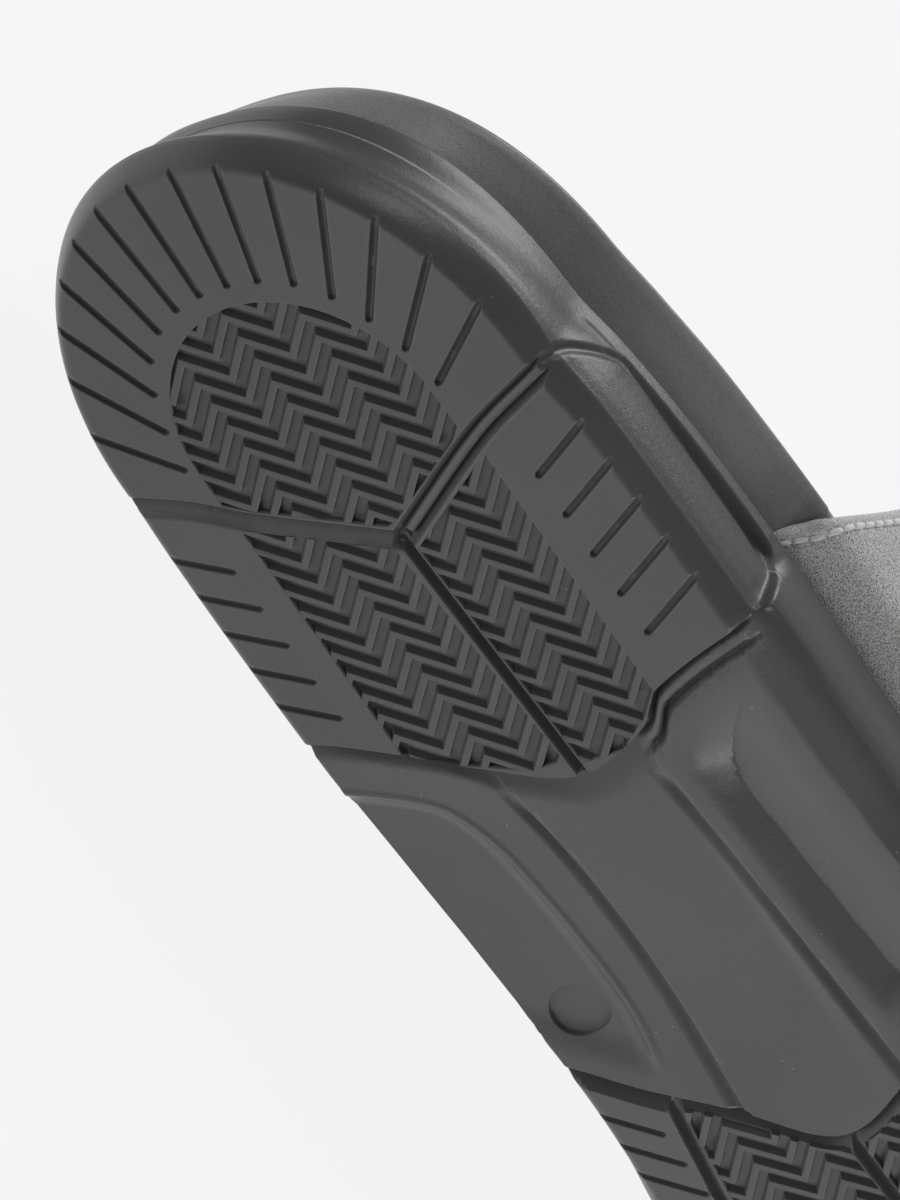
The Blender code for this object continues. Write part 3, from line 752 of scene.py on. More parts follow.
def fine_loop(points, pitch=1.5):
    """A closed outline with points at an even pitch along its sides."""
    loop = []
    for a, b in zip(points, np.roll(points, -1, axis=0)):
        count = max(1, int(np.linalg.norm(b - a) / pitch))
        loop += [a + (b - a) * k / count for k in range(count)]
    return np.array(loop)


def winding(loop):
    return np.sign((loop[:, 0] * np.roll(loop[:, 1], -1) - loop[:, 1] * np.roll(loop[:, 0], -1)).sum())


def inside_loop(points, loop):
    """Distance of points inside a closed outline, negative outside it."""
    closed = np.concatenate([loop, loop[:1]])
    gap = np.abs(off_path(points, closed))
    crossed = np.zeros(len(points), dtype=bool)
    for a, b in zip(closed[:-1], closed[1:]):
        spans = (a[1] > points[:, 1]) != (b[1] > points[:, 1])
        at = a[0] + (points[:, 1] - a[1]) * (b[0] - a[0]) / np.where(b[1] == a[1], 1, b[1] - a[1])
        crossed ^= spans & (points[:, 0] < at)
    return np.where(crossed, gap, -gap)


fields = field_outlines()
print("Herringbone fields:", {name: len(loop) for name, loop in fields.items()})

# %% [markdown]
# ## The hollow arch
# Between heel and forefoot the sole is lifted off the floor. A deep channel parts it from each tread.
# Two creases run along it, with a shallow pocket on the outer side and a scoop on the inner side. Each
# form is a soft step across a line that the table gives.

# %% Arch relief
ARCH_STEP, ARCH_RISE, CHANNEL, FRONT_CHANNEL = 0.9, 1.5, 2.9, 2.4
# Places across the sole of the two creases, by share of the arch's length.
LINE_COLUMNS = ("share", "crease_out", "crease_in")
LINES = (
    (0.0, 11.6, -14.6),
    (0.12, 9.7, -15.5),
    (0.3, 8.1, -16.6),
    (0.6, 7.6, -18.2),
    (1.0, 9.0, -20.6),
)
CREASE_DEPTH, CREASE_SLOPE, CREASE_WALL, CREASE_START = 1.25, 2.4, 0.3, (0.03, 0.16)
# Edge of the pocket on the outer side, as a line in plan, with a low ridge along it.
POCKET = (
    (110.5, 42.0),
    (113.0, 34.8),
    (120.3, 22.6),
    (128.3, 18.4),
    (136.5, 16.8),
    (154.6, 15.3),
    (168.8, 14.9),
    (180.0, 16.4),
    (188.0, 18.3),
)
POCKET_DEPTH, POCKET_EDGE, POCKET_FRONT = 1.4, 4.4, (12.0, 3.0)
RIDGE_HEIGHT, RIDGE_MIDDLE, RIDGE_HALF = 0.4, 0.9, 1.4
# Channel between heel tread and arch on the inner side, with a rib along it: distance ahead and height.
INNER_CHANNEL = (
    (0.0, 2.3),
    (0.9, 2.6),
    (1.25, 2.3),
    (1.7, 1.55),
    (2.1, 1.4),
    (2.9, 1.4),
    (3.3, 1.6),
    (3.8, 2.5),
    (4.2, 2.7),
    (4.6, 2.4),
    (5.2, 1.35),
    (5.8, 1.05),
    (7.0, 0.9),
)
# Scoop on the inner side: places across the sole of its two sides and its bottom.
SCOOP_COLUMNS = ("x", "outer_side", "bottom", "inner_side")
SCOOP = (
    (112, -33.0, -39.2, -40.5),
    (116, -29.0, -37.0, -39.0),
    (119.4, -24.8, -34.0, -38.2),
    (123.5, -21.0, -30.2, -37.8),
    (128, -18.8, -26.8, -37.8),
    (131.5, -18.8, -25.3, -38.0),
    (136, -19.0, -24.6, -38.4),
    (145, -19.4, -25.1, -39.2),
    (158.4, -19.8, -26.1, -41.0),
    (174, -21.2, -27.7, -42.0),
    (190, -23.0, -30.0, -43.0),
)
SCOOP_DEPTH, SCOOP_ROUND, SCOOP_REAR, SCOOP_FADE = 2.6, 0.3, (115.0, 131.0), (0.86, 0.98)
RECESS = {"middle": (166.8, 24.7), "half": (4.9, 5.2), "depth": 0.8, "edge": (-0.35, 0.15)}
# Where the inner part of the arch begins across the sole, and how much less it rises.
INNER_PART, INNER_LOWER = (-17.5, -13.5), 0.55
# Ramp out of the rear channel: its start and end ahead of the tread, shorter towards the outer side.
RAMP_START, RAMP_END, RAMP_SHORTER, RAMP_RANGE = 0.8, 7.0, 2.5, (8.0, 18.0)
# Steps from heel tread to arch and from arch to front channel, then the slope up to the forefoot.
REAR_STEP, FRONT_STEP, FRONT_FLAT = (-0.05, 0.45), 0.4, 0.9
FRONT_SLOPE = (FRONT_CHANNEL + 0.6) / 3.3


def recess_out(points):
    """Distance outside the oval recess, in plan."""
    away = (points - np.array(RECESS["middle"])) / np.array(RECESS["half"])
    return (np.linalg.norm(away, axis=1) - 1) * RECESS["half"][1]


pocket_path = eased(POCKET)
print("Pocket's edge:", len(pocket_path), "points")

# %% Height of the arch


def scoop(x, y):
    """Depth of the scoop: a straight slope on each side, rounded where it starts."""
    outer, bottom, inner = (along(SCOOP_COLUMNS, SCOOP, name, x) for name in SCOOP_COLUMNS[1:])
    t = np.clip(np.minimum((outer - y) / (outer - bottom), (y - inner) / (bottom - inner)), 0, 1)
    soft = np.where(t < SCOOP_ROUND, t * t / (2 * SCOOP_ROUND), t - SCOOP_ROUND / 2)
    return SCOOP_DEPTH * soft / (1 - SCOOP_ROUND / 2)


def arch(points):
    """Height of the arch above the tread, zero under heel and forefoot."""
    x, y = points.T
    rear, front = arch_ends(y)
    ahead, length = x - rear, front - rear
    share = np.clip(ahead / length, 0, 1)
    line = {name: along(LINE_COLUMNS, LINES, name, share) for name in LINE_COLUMNS[1:]}
    inner = 1 - smooth(*INNER_PART, y)
    floor = ARCH_STEP + ARCH_RISE * np.sin(math.pi * share) * (1 - INNER_LOWER * inner)
    ramp = RAMP_END - RAMP_SHORTER * smooth(*RAMP_RANGE, y)
    floor += (CHANNEL - ARCH_STEP) * (1 - smooth(RAMP_START, ramp, ahead)) * (1 - inner)
    floor += (np.interp(ahead, *np.array(INNER_CHANNEL).T) - ARCH_STEP) * inner
    for name in ("crease_out", "crease_in"):
        off = y - line[name]
        form = np.where(off > 0, 1 - smooth(0.0, CREASE_SLOPE, off), 1 - smooth(0.0, CREASE_WALL, -off))
        floor += CREASE_DEPTH * form * smooth(*CREASE_START, share)
    off = -off_path(points, pocket_path)
    pocket = POCKET_DEPTH * smooth(0.0, POCKET_EDGE, off)
    pocket -= RIDGE_HEIGHT * (1 - smooth(0.0, RIDGE_HALF, np.abs(off - RIDGE_MIDDLE)))
    floor += pocket * smooth(*POCKET_FRONT[::-1], length - ahead)
    floor += scoop(x, y) * smooth(*SCOOP_REAR, x) * (1 - smooth(*SCOOP_FADE, share))
    floor += RECESS["depth"] * (1 - smooth(*RECESS["edge"], recess_out(points)))
    past = ahead - length
    floor += (FRONT_CHANNEL - floor) * smooth(0.0, FRONT_STEP, past)
    floor -= np.maximum(0.0, past - FRONT_FLAT) * FRONT_SLOPE
    return np.maximum(0.0, floor) * smooth(*REAR_STEP, ahead)


sample = np.array([[150.0, 0.0], [150.0, -30.0], [150.0, 26.0]])
print("Arch height in the middle, scoop and pocket:", arch(sample).round(2))

# %% Height of the underside
EASE = 0.12


def higher(a, b):
    """The higher of two surfaces with a small fillet where they meet."""
    near = np.maximum(EASE - np.abs(a - b), 0) / EASE
    return np.maximum(a, b) + np.where((a > 1e-4) & (b > 1e-4), near * near * EASE / 4, 0)


def underside(points):
    """Height of the underside above the flat tread."""
    share, station, x = outside(points)
    worn = np.zeros(len(points))
    for start, end in slots:
        worn = np.maximum(worn, profile(SLOT, off_path(points, (start, end))))
    for name, path in paths.items():
        worn = np.maximum(worn, profile(GROOVES[name][0], off_path(points, path)))
    for loop in fields.values():
        worn = np.maximum(worn, FIELD_DEPTH * smooth(-0.02, FIELD_EDGE, inside_loop(points, loop)))
    worn = higher(worn, arch(points))
    return higher(worn, bevel(share, x, on_inner[station]))


print("Heights at edge, slot and field:", underside(np.array([[90, -41], [64.5, -36], [40, 0]])).round(2))

# %% [markdown]
# ## Lines that the mesh must follow
# Long thin forms need few triangles if the edges of the mesh run along them. Each slot, groove, field
# border and step of the arch gives parallel lines, one for each bend of its profile. A constrained
# Delaunay triangulation then joins all these lines, and a loose grid of points, into one surface.

# %% Contour lines
# Places of the lines: shares of the bevel, then distances from a field, the arch's ends, a crease, the oval.
BEVEL_LINES = (-0.05, 0.02, 0.1, 0.2, 0.32, 0.47, 0.63, 0.8, 0.93)
FIELD_LINES = (0.16, 0.02, -FIELD_EDGE / 2, -FIELD_EDGE)
REAR_LINES = (-0.2, -0.05, 0.12, 0.28, 0.45, 0.9, 1.25, 1.7, 2.1, 2.9, 3.3, 3.8, 4.2, 4.6, 5.2)
FRONT_LINES = (-0.4, 0.0, 0.13, 0.27, 0.4, 0.9, 3.5, 3.9)
CREASE_LINES = (-CREASE_WALL, -0.2, -0.1, 0, 0.4, 0.9, 1.4, 1.9, CREASE_SLOPE)
RECESS_LINES = (-0.35, -0.18, 0.0, 0.15)
# The ribbed channel is only on the inner side: lines further ahead than this end there.
CHANNEL_AHEAD, CHANNEL_SIDE = 1.0, -13.0
ARCH_ACROSS, SCOOP_REACH, CREASE_REACH = (-46.0, 40.0, 0.9), (117, 192, 60), (0.02, 0.99, 80)


def stadium(start, end, off, pitch=2.2, round_steps=10):
    """Closed line around a slot at a distance from its middle."""
    run = (end - start) / np.linalg.norm(end - start)
    left = np.array([-run[1], run[0]])
    count = max(2, int(np.linalg.norm(end - start) / pitch))
    steps = np.linspace(0, 1, count, endpoint=False)[1:, None]
    around = np.radians(np.linspace(-90, 90, round_steps))[:, None]
    ahead = end + off * (np.cos(around) * run + np.sin(around) * left)
    behind = start - off * (np.cos(around) * run + np.sin(around) * left)
    back = end + (start - end) * steps + left * off
    forth = start + (end - start) * steps - left * off
    return np.concatenate([ahead, back, behind, forth])


def beside(path, off):
    """Line beside a path, to its right."""
    run = np.gradient(path, axis=0)
    run /= np.linalg.norm(run, axis=1)[:, None]
    return path + np.stack([run[:, 1], -run[:, 0]], axis=1) * off


def contours():
    """All lines that the tread's mesh follows, as point arrays with a mark for closed ones."""
    lines = []
    for start, end in slots:
        lines += [(stadium(start, end, off), True) for off, depth in SLOT[1:]]
    for name, path in paths.items():
        table = GROOVES[name][0]
        offs = [off for off, depth in table]
        offs += [-off for off in offs[1:]] if offs[0] == 0 else []
        lines += [(beside(path, off), False) for off in offs]
    for loop in fields.values():
        fine = fine_loop(loop)
        lines += [(grown(fine, off * winding(fine)), True) for off in FIELD_LINES]
    across = np.arange(*ARCH_ACROSS)
    rear, front = arch_ends(across)
    for off in REAR_LINES:
        kept = across < (CHANNEL_SIDE if off > CHANNEL_AHEAD else FAR)
        lines.append((np.stack([rear + off, across], axis=1)[kept], False))
    for off in FRONT_LINES:
        lines.append((np.stack([front + off, across], axis=1), False))
    shares = np.linspace(*CREASE_REACH)
    creases = [(name, off) for name in ("crease_out", "crease_in") for off in CREASE_LINES]
    lines += [(beside(pocket_path, -off), False) for off in np.linspace(-0.6, POCKET_EDGE, 16)]
    reach = np.linspace(*SCOOP_REACH)
    for name in SCOOP_COLUMNS[1:]:
        lines.append((np.stack([reach, along(SCOOP_COLUMNS, SCOOP, name, reach)], axis=1), False))
    for name, off in creases:
        y = along(LINE_COLUMNS, LINES, name, shares) + off
        rear, front = arch_ends(y)
        lines.append((np.stack([rear + shares * (front - rear), y], axis=1), False))
    around = np.linspace(0, 2 * math.pi, 48, endpoint=False)
    for off in RECESS_LINES:
        half = np.array(RECESS["half"]) + off
        oval = np.stack([np.cos(around), np.sin(around)], axis=1) * half + np.array(RECESS["middle"])
        lines.append((oval, True))
    return lines


def grid(first, last, low, high, pitch):
    """Loose points in an oblong of the plan."""
    xs, ys = np.meshgrid(np.arange(first, last, pitch), np.arange(low, high, pitch))
    return np.stack([xs.ravel(), ys.ravel()], axis=1)


print("Contour lines:", len(contours()))

# %% Triangulate the tread
# Limits, as shares of the bevel, for lines that cross it and for those along it, and for loose points.
FREE_LIMIT, BEVEL_LIMIT, ARCH_LIMIT, FLAT_LIMIT = 0.88, 0.95, 0.8, -0.1
ARCH_PAST, SAME_POINT = 4, 1e-5
boundary = grown(edge_line, BEVEL_OUT)
points = [boundary]
links = [np.stack([np.arange(len(turns)), np.roll(np.arange(len(turns)), -1)], axis=1)]
count = len(boundary)
lines = [(grown(edge_line, BEVEL_START + share * (BEVEL_OUT - BEVEL_START)), True) for share in BEVEL_LINES]
lines += contours()
for line, closed in lines:
    kept = outside(line)[0] < (BEVEL_LIMIT if len(line) == len(turns) else FREE_LIMIT)
    index = count + np.cumsum(kept) - 1
    ahead = np.roll(np.arange(len(line)), -1)
    pairs = np.stack([np.arange(len(line)), ahead], axis=1)[: None if closed else -1]
    pairs = pairs[kept[pairs[:, 0]] & kept[pairs[:, 1]]]
    links.append(index[pairs])
    points.append(line[kept])
    count += int(kept.sum())
wide_grid, arch_grid = grid(-2, 290, -50, 42, 3.1), grid(98, 204, -46, 38, 1.0)
loose = np.concatenate([wide_grid, arch_grid])
rear, front = arch_ends(loose[:, 1])
in_arch = (loose[:, 0] > rear) & (loose[:, 0] < front + ARCH_PAST)
coarse = np.arange(len(loose)) < len(wide_grid)
loose = loose[(coarse ^ in_arch) & (outside(loose)[0] < np.where(in_arch, ARCH_LIMIT, FLAT_LIMIT))]
points = np.concatenate(points + [loose])
links = np.concatenate(links)
mesh_out = geometry.delaunay_2d_cdt([Vector(p) for p in points], links.tolist(), [], 0, SAME_POINT)
plan = np.array([tuple(v) for v in mesh_out[0]])
triangles = np.array(mesh_out[2])
centres = plan[triangles].mean(axis=1)
triangles = triangles[inside_loop(centres, boundary) > 1e-4]
print("Tread points:", len(plan), "triangles:", len(triangles))

# %% [markdown]
# ## The wall of the lower unit
# Above the bevel the wall steps in and then leans out to the seat of the footbed. On the inner side a
# raised block is set off by a groove. The same groove function moves the wall and the top of the bevel
# inwards, so the channel runs on from the tread without a break.

# %% Tables of the wall
WALL_COLUMNS = ("z", "inset", "share")
WALL = (
    (0.45, -0.75, 0.0),
    (2.8, -1.7, 0.0),
    (5.6, -2.2, 0.0),
    (7.6, -1.7, 0.55),
    (10.6, -0.75, 1.0),
    (16.7, 0.0, 1.0),
)
INNER_SHARE = ((5.6, 0.0), (8.5, 0.3), (12.5, 0.68), (16.7, 1.0))
WALL_TOP = 16.7
# Round of the inner wall: how far it stands out, and the shares of the wall where it joins, rises and falls.
CREST_ROUND, CREST_JOIN, CREST_RISE, CREST_FALL = 0.6, 0.08, (-0.12, 0.2), (0.3, 0.8)
CREST_FIRST = CREST_ROUND * float(smooth(*CREST_RISE, 0.0))
# Where along the sole the inner wall has this form, and the width over which the two sides blend.
INNER_BEGIN, INNER_END, SIDE_BLEND = (6.0, 34.0), (262.0, 284.0), 50.0
# The block on the inner wall: its ends, its flare, and where the wall above turns out to the seat.
BLOCK_RANGE, BLOCK_END, BLOCK_FLARE, FLARE_RANGE = (50.0, 54.0), (-0.1, 1.1), 0.75, (3.0, 12.0)
SEAT_TURN, ARCH_OUT, ARCH_OUT_RANGE = (13.5, 14.9), 4.3, (99.0, 105.0)
# A shallow hollow around the heel, by share of the wall and then along the sole.
HEEL_HOLLOW, HOLLOW_RISE, HOLLOW_FALL, HOLLOW_FADE = 0.5, (0.1, 0.42), (0.45, 0.95), (26.0, 50.0)
print("Wall from", WALL[0][0], "to", WALL_TOP, "mm")

# %% Channel around the block
# The channel's line on the wall, its depth by distance from it, where it fades, and the block's front end.
CHANNEL_PATH = (
    (50.2, -1.0),
    (51.0, 2.0),
    (52.6, 5.0),
    (55.2, 8.5),
    (58.2, 12.2),
    (60.6, 13.9),
    (64.0, 14.0),
    (80.0, 14.0),
    (94.0, 13.9),
    (98.2, 13.4),
    (100.6, 12.3),
    (102.3, 9.5),
    (103.5, 6.0),
    (104.8, 2.5),
    (106.0, -1.0),
)
CHANNEL_CUT = ((0.0, 0.6), (0.3, 0.56), (0.65, 0.36), (1.0, 0.12), (1.3, 0.02), (1.6, 0.0))
CHANNEL_LOW, CHANNEL_FADE, CHANNEL_ON_BEVEL = (0.4, 2.0), (97.0, 100.5), (0.05, 0.4)
BLOCK_FRONT = ((-1.0, 107.0), (3.0, 105.6), (7.0, 104.3), (11.5, 102.6), (13.6, 100.2), (15.5, 98.0))
channel_path = eased(CHANNEL_PATH)


def block_cut(x, z, inner):
    """How far the channel around the block sinks into the inner wall."""
    cut = profile(CHANNEL_CUT, off_path(np.stack([x, z], axis=1), channel_path))
    return np.where(inner, cut * smooth(*CHANNEL_LOW, z) * (1 - smooth(*CHANNEL_FADE, x)), 0.0)


print("Channel around the block:", len(channel_path), "points")

# %% Rows of the wall
seat_line = outline("seat", turns)
seat_out = ((seat_line - edge_line) * edge_normal).sum(axis=1)
inner_form = smooth(*INNER_BEGIN, edge_x) * (1 - smooth(*INNER_END, edge_x))
INNER_WEIGHT = np.where(turns < math.pi, inner_form, 0)


def wall_ring(level):
    """Ring of the wall at a share of the way from the bevel's top to the seat."""
    z = BEVEL_TOP + (WALL_TOP - BEVEL_TOP) * level
    inset, share_out = (along(WALL_COLUMNS, WALL, name, z) for name in WALL_COLUMNS[1:])
    share_in = np.interp(z, *np.array(INNER_SHARE).T)
    outer = np.clip(0.5 + edge_line[:, 1] / SIDE_BLEND, 0, 1)
    out = (share_in + (share_out - share_in) * outer) * seat_out - inset
    x = edge_x
    start = np.maximum(BEVEL_OUT, ARCH_OUT * smooth(*ARCH_OUT_RANGE, x))
    plain = start + (seat_out - start) * level
    block = BEVEL_OUT + BLOCK_FLARE * smooth(*FLARE_RANGE, z)
    block = block + (seat_out - block) * smooth(*SEAT_TURN, z)
    front = np.interp(z, *np.array(BLOCK_FRONT).T)
    on_block = smooth(*BLOCK_RANGE, x) * (1 - smooth(front + BLOCK_END[0], front + BLOCK_END[1], x))
    crest = plain + (block - plain) * on_block
    crest = BEVEL_OUT + (crest - BEVEL_OUT) * smooth(0.0, CREST_JOIN, level)
    crest = crest + CREST_ROUND * smooth(*CREST_RISE, level) * (1 - smooth(*CREST_FALL, level)) - CREST_FIRST
    out = out + (crest - out) * INNER_WEIGHT
    hollow = smooth(*HOLLOW_RISE, level) * (1 - smooth(*HOLLOW_FALL, level)) * (1 - smooth(*HOLLOW_FADE, x))
    out = out - HEEL_HOLLOW * hollow - block_cut(x, z, turns < math.pi)
    shift = (seat_line - edge_line) - edge_normal * seat_out[:, None]
    flat = edge_line + edge_normal * out[:, None] + shift * smooth(0.0, 1.0, level)
    return raised(flat, z * height("seat", x) / SEAT_HEIGHT)


WALL_LEVELS = np.concatenate(
    [np.arange(0, 0.12, 0.02), np.arange(0.12, 0.66, 0.03), np.arange(0.66, 1.001, 0.02)]
)
# Inset and drop of the rings that round the wall's top over to the seat.
TOP_RINGS = ((0.08, 0.5), (0.3, 0.16), (0.7, 0.0))
rings = [wall_ring(level) for level in WALL_LEVELS]
for inset, drop in TOP_RINGS:
    flat = grown(seat_line, -inset)
    rings.append(raised(flat, height("seat", flat[:, 0]) - drop))
print("Wall rows:", len(rings), "of", len(turns), "points")

# %% Join tread and wall


def tread_place(flat):
    """Upright place of tread points, moved in where the block's channel crosses the bevel."""
    rise = underside(flat)
    share, near, x = outside(flat)
    cut = block_cut(flat[:, 0], rise * SEAT_HEIGHT / height("seat", flat[:, 0]), flat[:, 1] < 0)
    cut = cut * smooth(*CHANNEL_ON_BEVEL, share)
    return raised(flat - edge_normal[near] * cut[:, None], rise)


def in_parts(function, flat, size=4000):
    return np.concatenate([function(flat[i : i + size]) for i in range(0, len(flat), size)])


STEP = 0.02
place = in_parts(tread_place, plan)
east = in_parts(tread_place, plan + np.array([STEP, 0])) - place
north = in_parts(tread_place, plan + np.array([0, STEP])) - place
tread_normal = np.cross(north, east)
tread_normal /= np.linalg.norm(tread_normal, axis=1)[:, None]
n = len(turns)
place[:n] = rings[0]
wall_points, wall_faces = loft(rings, closed=(False, True))
shift = len(plan) - n
outsole_points = np.concatenate([place, wall_points[n:]])
outsole_faces = [tuple(int(v) for v in t[::-1]) for t in triangles]
outsole_faces += [tuple(v if v < n else v + shift for v in face) for face in wall_faces]
outsole = new_piece("outsole_skin", outsole_points, outsole_faces, RUBBER)
skin_normals = np.array([v.vector for v in outsole.data.vertex_normals]) @ LIE
skin_normals[n : len(plan)] = tread_normal[n:]
outsole.data.normals_split_custom_set_from_vertices((skin_normals @ LIE.T).tolist())
print("Outsole skin:", len(outsole.data.vertices), "points", len(outsole.data.polygons), "faces")

# %% [markdown]
# ## Herringbone ribs
# The fields hold zigzag ribs, all alike. Geometry Nodes are made for this: one rib is copied along a
# line at an even pitch, the copies are made real, and a Boolean keeps what lies inside the field. The
# work is done flat, in millimetres, and the result is then lifted with the toe and laid down.

# %% One rib
# Half width of a rib's top, reach of its rear and its front foot, and its chamfer.
RIB_TOP, RIB_REAR, RIB_FRONT, RIB_CHAMFER = 0.52, 1.12, 0.62, 0.05
# Reach of one arm of the zigzag, how far the foot sinks in, and how far the top is set back from the tread.
RIB_ARM, RIB_SINK, RIB_LOWER = 5.62, 0.25, 0.04
# Pattern of each field: a corner of the zigzag in plan, pitch along the sole, and its turn in degrees.
PATTERN_COLUMNS = ("x", "y", "pitch", "turn")
PATTERNS = {
    "heel_field": (25.9, 1.1, 4.43, 1.6),
    "outer_field": (69.6, 10.1, 4.44, 1.6),
    "inner_field": (93.4, -12.3, 4.47, 1.9),
    "fore_outer_field": (195.1, 13.2, 4.42, 4.7),
    "fore_inner_field": (204.0, -9.8, 4.42, 4.7),
}
RIB_BACK, RIB_COUNT, RIB_CORNERS = 16, 34, 12


def rib_mesh(name, corner, turn, pitch):
    """One closed zigzag rib across the sole, upright and flat, in millimetres."""
    slant = math.sqrt(2)
    rear_run = (RIB_REAR - RIB_TOP) * (FIELD_DEPTH + RIB_SINK) / FIELD_DEPTH
    section = (
        (-RIB_TOP - rear_run, FIELD_DEPTH + RIB_SINK),
        (-RIB_TOP - RIB_CHAMFER, RIB_LOWER + RIB_CHAMFER),
        (-RIB_TOP + RIB_CHAMFER, RIB_LOWER),
        (RIB_TOP - RIB_CHAMFER, RIB_LOWER),
        (RIB_TOP + RIB_CHAMFER / 4, RIB_LOWER + RIB_CHAMFER),
        (RIB_FRONT, FIELD_DEPTH + RIB_SINK),
    )
    ahead = np.array([math.cos(math.radians(turn)), -math.sin(math.radians(turn))])
    across = np.array([-ahead[1], ahead[0]])
    points, faces = [], []
    k = len(section)
    for c in range(-RIB_CORNERS, RIB_CORNERS + 1):
        middle = np.array(corner) + across * RIB_ARM * c + ahead * (RIB_ARM * (c % 2) - RIB_BACK * pitch)
        for off, z in section:
            points.append((*(middle + ahead * off * slant), z))
        if c > -RIB_CORNERS:
            last = len(points) - k
            for i in range(k):
                j = (i + 1) % k
                faces.append((last - k + i, last - k + j, last + j, last + i))
    faces += [tuple(range(k))[::-1], tuple(range(len(points) - k, len(points)))]
    return linked(name, plain_mesh(name, points, faces)), ahead * pitch


print("Rib is", round(2 * RIB_TOP, 2), "mm wide on top and", FIELD_DEPTH, "mm high")

# %% Block over a field and an empty tree


def prism(name, loop, low, high):
    """Upright closed block over a plan outline, flat, in millimetres."""
    n = len(loop)
    points = [(*p, z) for z in (low, high) for p in loop]
    faces = [(i, (i + 1) % n, n + (i + 1) % n, n + i) for i in range(n)]
    faces += [tuple(range(n))[::-1], tuple(range(n, 2 * n))]
    if winding(loop) < 0:
        faces = [face[::-1] for face in faces]
    return linked(name, plain_mesh(name, points, faces))


def node_tree(name, inputs):
    """A Geometry Nodes tree with a geometry in and out and named inputs."""
    tree = bpy.data.node_groups.new(name, "GeometryNodeTree")
    tree.interface.new_socket("Geometry", in_out="INPUT", socket_type="NodeSocketGeometry")
    tree.interface.new_socket("Geometry", in_out="OUTPUT", socket_type="NodeSocketGeometry")
    for title, kind in inputs.items():
        tree.interface.new_socket(title, in_out="INPUT", socket_type="NodeSocket" + kind)
    return tree, tree.nodes.new("NodeGroupInput"), tree.nodes.new("NodeGroupOutput")


print("Fields to fill:", list(PATTERNS))

# %% Tree that repeats the rib


def repeat_tree():
    inputs = {"Pitch": "Vector", "Count": "Int", "Field": "Object", "Finish": "Material"}
    tree, start, end = node_tree("repeated_ribs", inputs)
    row = tree.nodes.new("GeometryNodeMeshLine")
    copies = tree.nodes.new("GeometryNodeInstanceOnPoints")
    real = tree.nodes.new("GeometryNodeRealizeInstances")
    field = tree.nodes.new("GeometryNodeObjectInfo")
    kept = tree.nodes.new("GeometryNodeMeshBoolean")
    kept.operation = "INTERSECT"
    finish = tree.nodes.new("GeometryNodeSetMaterial")
    link = tree.links.new
    link(start.outputs["Count"], row.inputs["Count"])
    link(start.outputs["Pitch"], row.inputs["Offset"])
    link(row.outputs["Mesh"], copies.inputs["Points"])
    link(start.outputs["Geometry"], copies.inputs["Instance"])
    link(copies.outputs["Instances"], real.inputs["Geometry"])
    link(start.outputs["Field"], field.inputs["Object"])
    link(real.outputs["Geometry"], kept.inputs["Mesh 2"])
    link(field.outputs["Geometry"], kept.inputs["Mesh 2"])
    link(kept.outputs["Mesh"], finish.inputs["Geometry"])
    link(start.outputs["Finish"], finish.inputs["Material"])
    link(finish.outputs["Geometry"], end.inputs["Geometry"])
    return tree


repeated = repeat_tree()
print(repeated.name, "has", len(repeated.nodes), "nodes")

# %% From a tree to a mesh


def made_by(tree, piece, values):
    """The plain mesh that a tree makes from a piece with these inputs."""
    step = piece.modifiers.new(tree.name, "NODES")
    step.node_group = tree
    for item in tree.interface.items_tree:
        if item.in_out == "INPUT" and item.name in values:
            step[item.identifier] = values[item.name]
    graph = bpy.context.evaluated_depsgraph_get()
    mesh = bpy.data.meshes.new_from_object(piece.evaluated_get(graph))
    piece.modifiers.remove(step)
    return mesh


def coordinates(mesh):
    flat = np.empty(len(mesh.vertices) * 3)
    mesh.vertices.foreach_get("co", flat)
    return flat.reshape(-1, 3)


def dropped(*pieces):
    for piece in pieces:
        bpy.data.objects.remove(piece, do_unlink=True)


# %% Ribs in every field
# How far ribs reach past a field's border, the heights of the cutting block, and the angle of a sharp edge.
FIELD_OVERLAP, BLOCK_LOW, BLOCK_HIGH, RIB_SHARP = 0.12, -2.0, 6.0, math.radians(28)
ribs = []
for name, row in PATTERNS.items():
    pattern = dict(zip(PATTERN_COLUMNS, row))
    rib, pitch = rib_mesh(name + "_rib", (pattern["x"], pattern["y"]), pattern["turn"], pattern["pitch"])
    border = grown(fields[name], FIELD_OVERLAP * winding(fields[name]))
    block = prism(name + "_block", border, BLOCK_LOW, BLOCK_HIGH)
    values = {"Pitch": (*pitch, 0.0), "Count": RIB_COUNT, "Field": block, "Finish": RUBBER}
    mesh = made_by(repeated, rib, values)
    flat = coordinates(mesh)
    flat[:, 2] += spring(flat[:, 0])
    mesh.vertices.foreach_set("co", laid(flat).ravel())
    mesh.set_sharp_from_angle(angle=RIB_SHARP)
    mesh.update()
    piece = linked(name + "_ribs", mesh)
    dropped(rib, block)
    ribs.append(piece)
    print(piece.name, "faces:", len(mesh.polygons), "materials:", [m.name for m in mesh.materials])

# %% [markdown]
# ## Footbed and insole
# The footbed is a soft moulded cup on top of the lower unit, with a rounded rim. Its side is let in
# where the strap passes down. The insole lies inside the rim. Both are lofts through offset outlines.

# %% Footbed
STRAP_REAR, STRAP_FRONT, REAR_SKEW, FRONT_SKEW = 100.0, 204.0, 3.2, 8.0
# Distances from the strap's edge where the recess in the footbed's side fades, and the floor of the dish.
RECESS_NEAR, RECESS_FAR, BED_FLOOR = 0.2, 0.9, 3.5
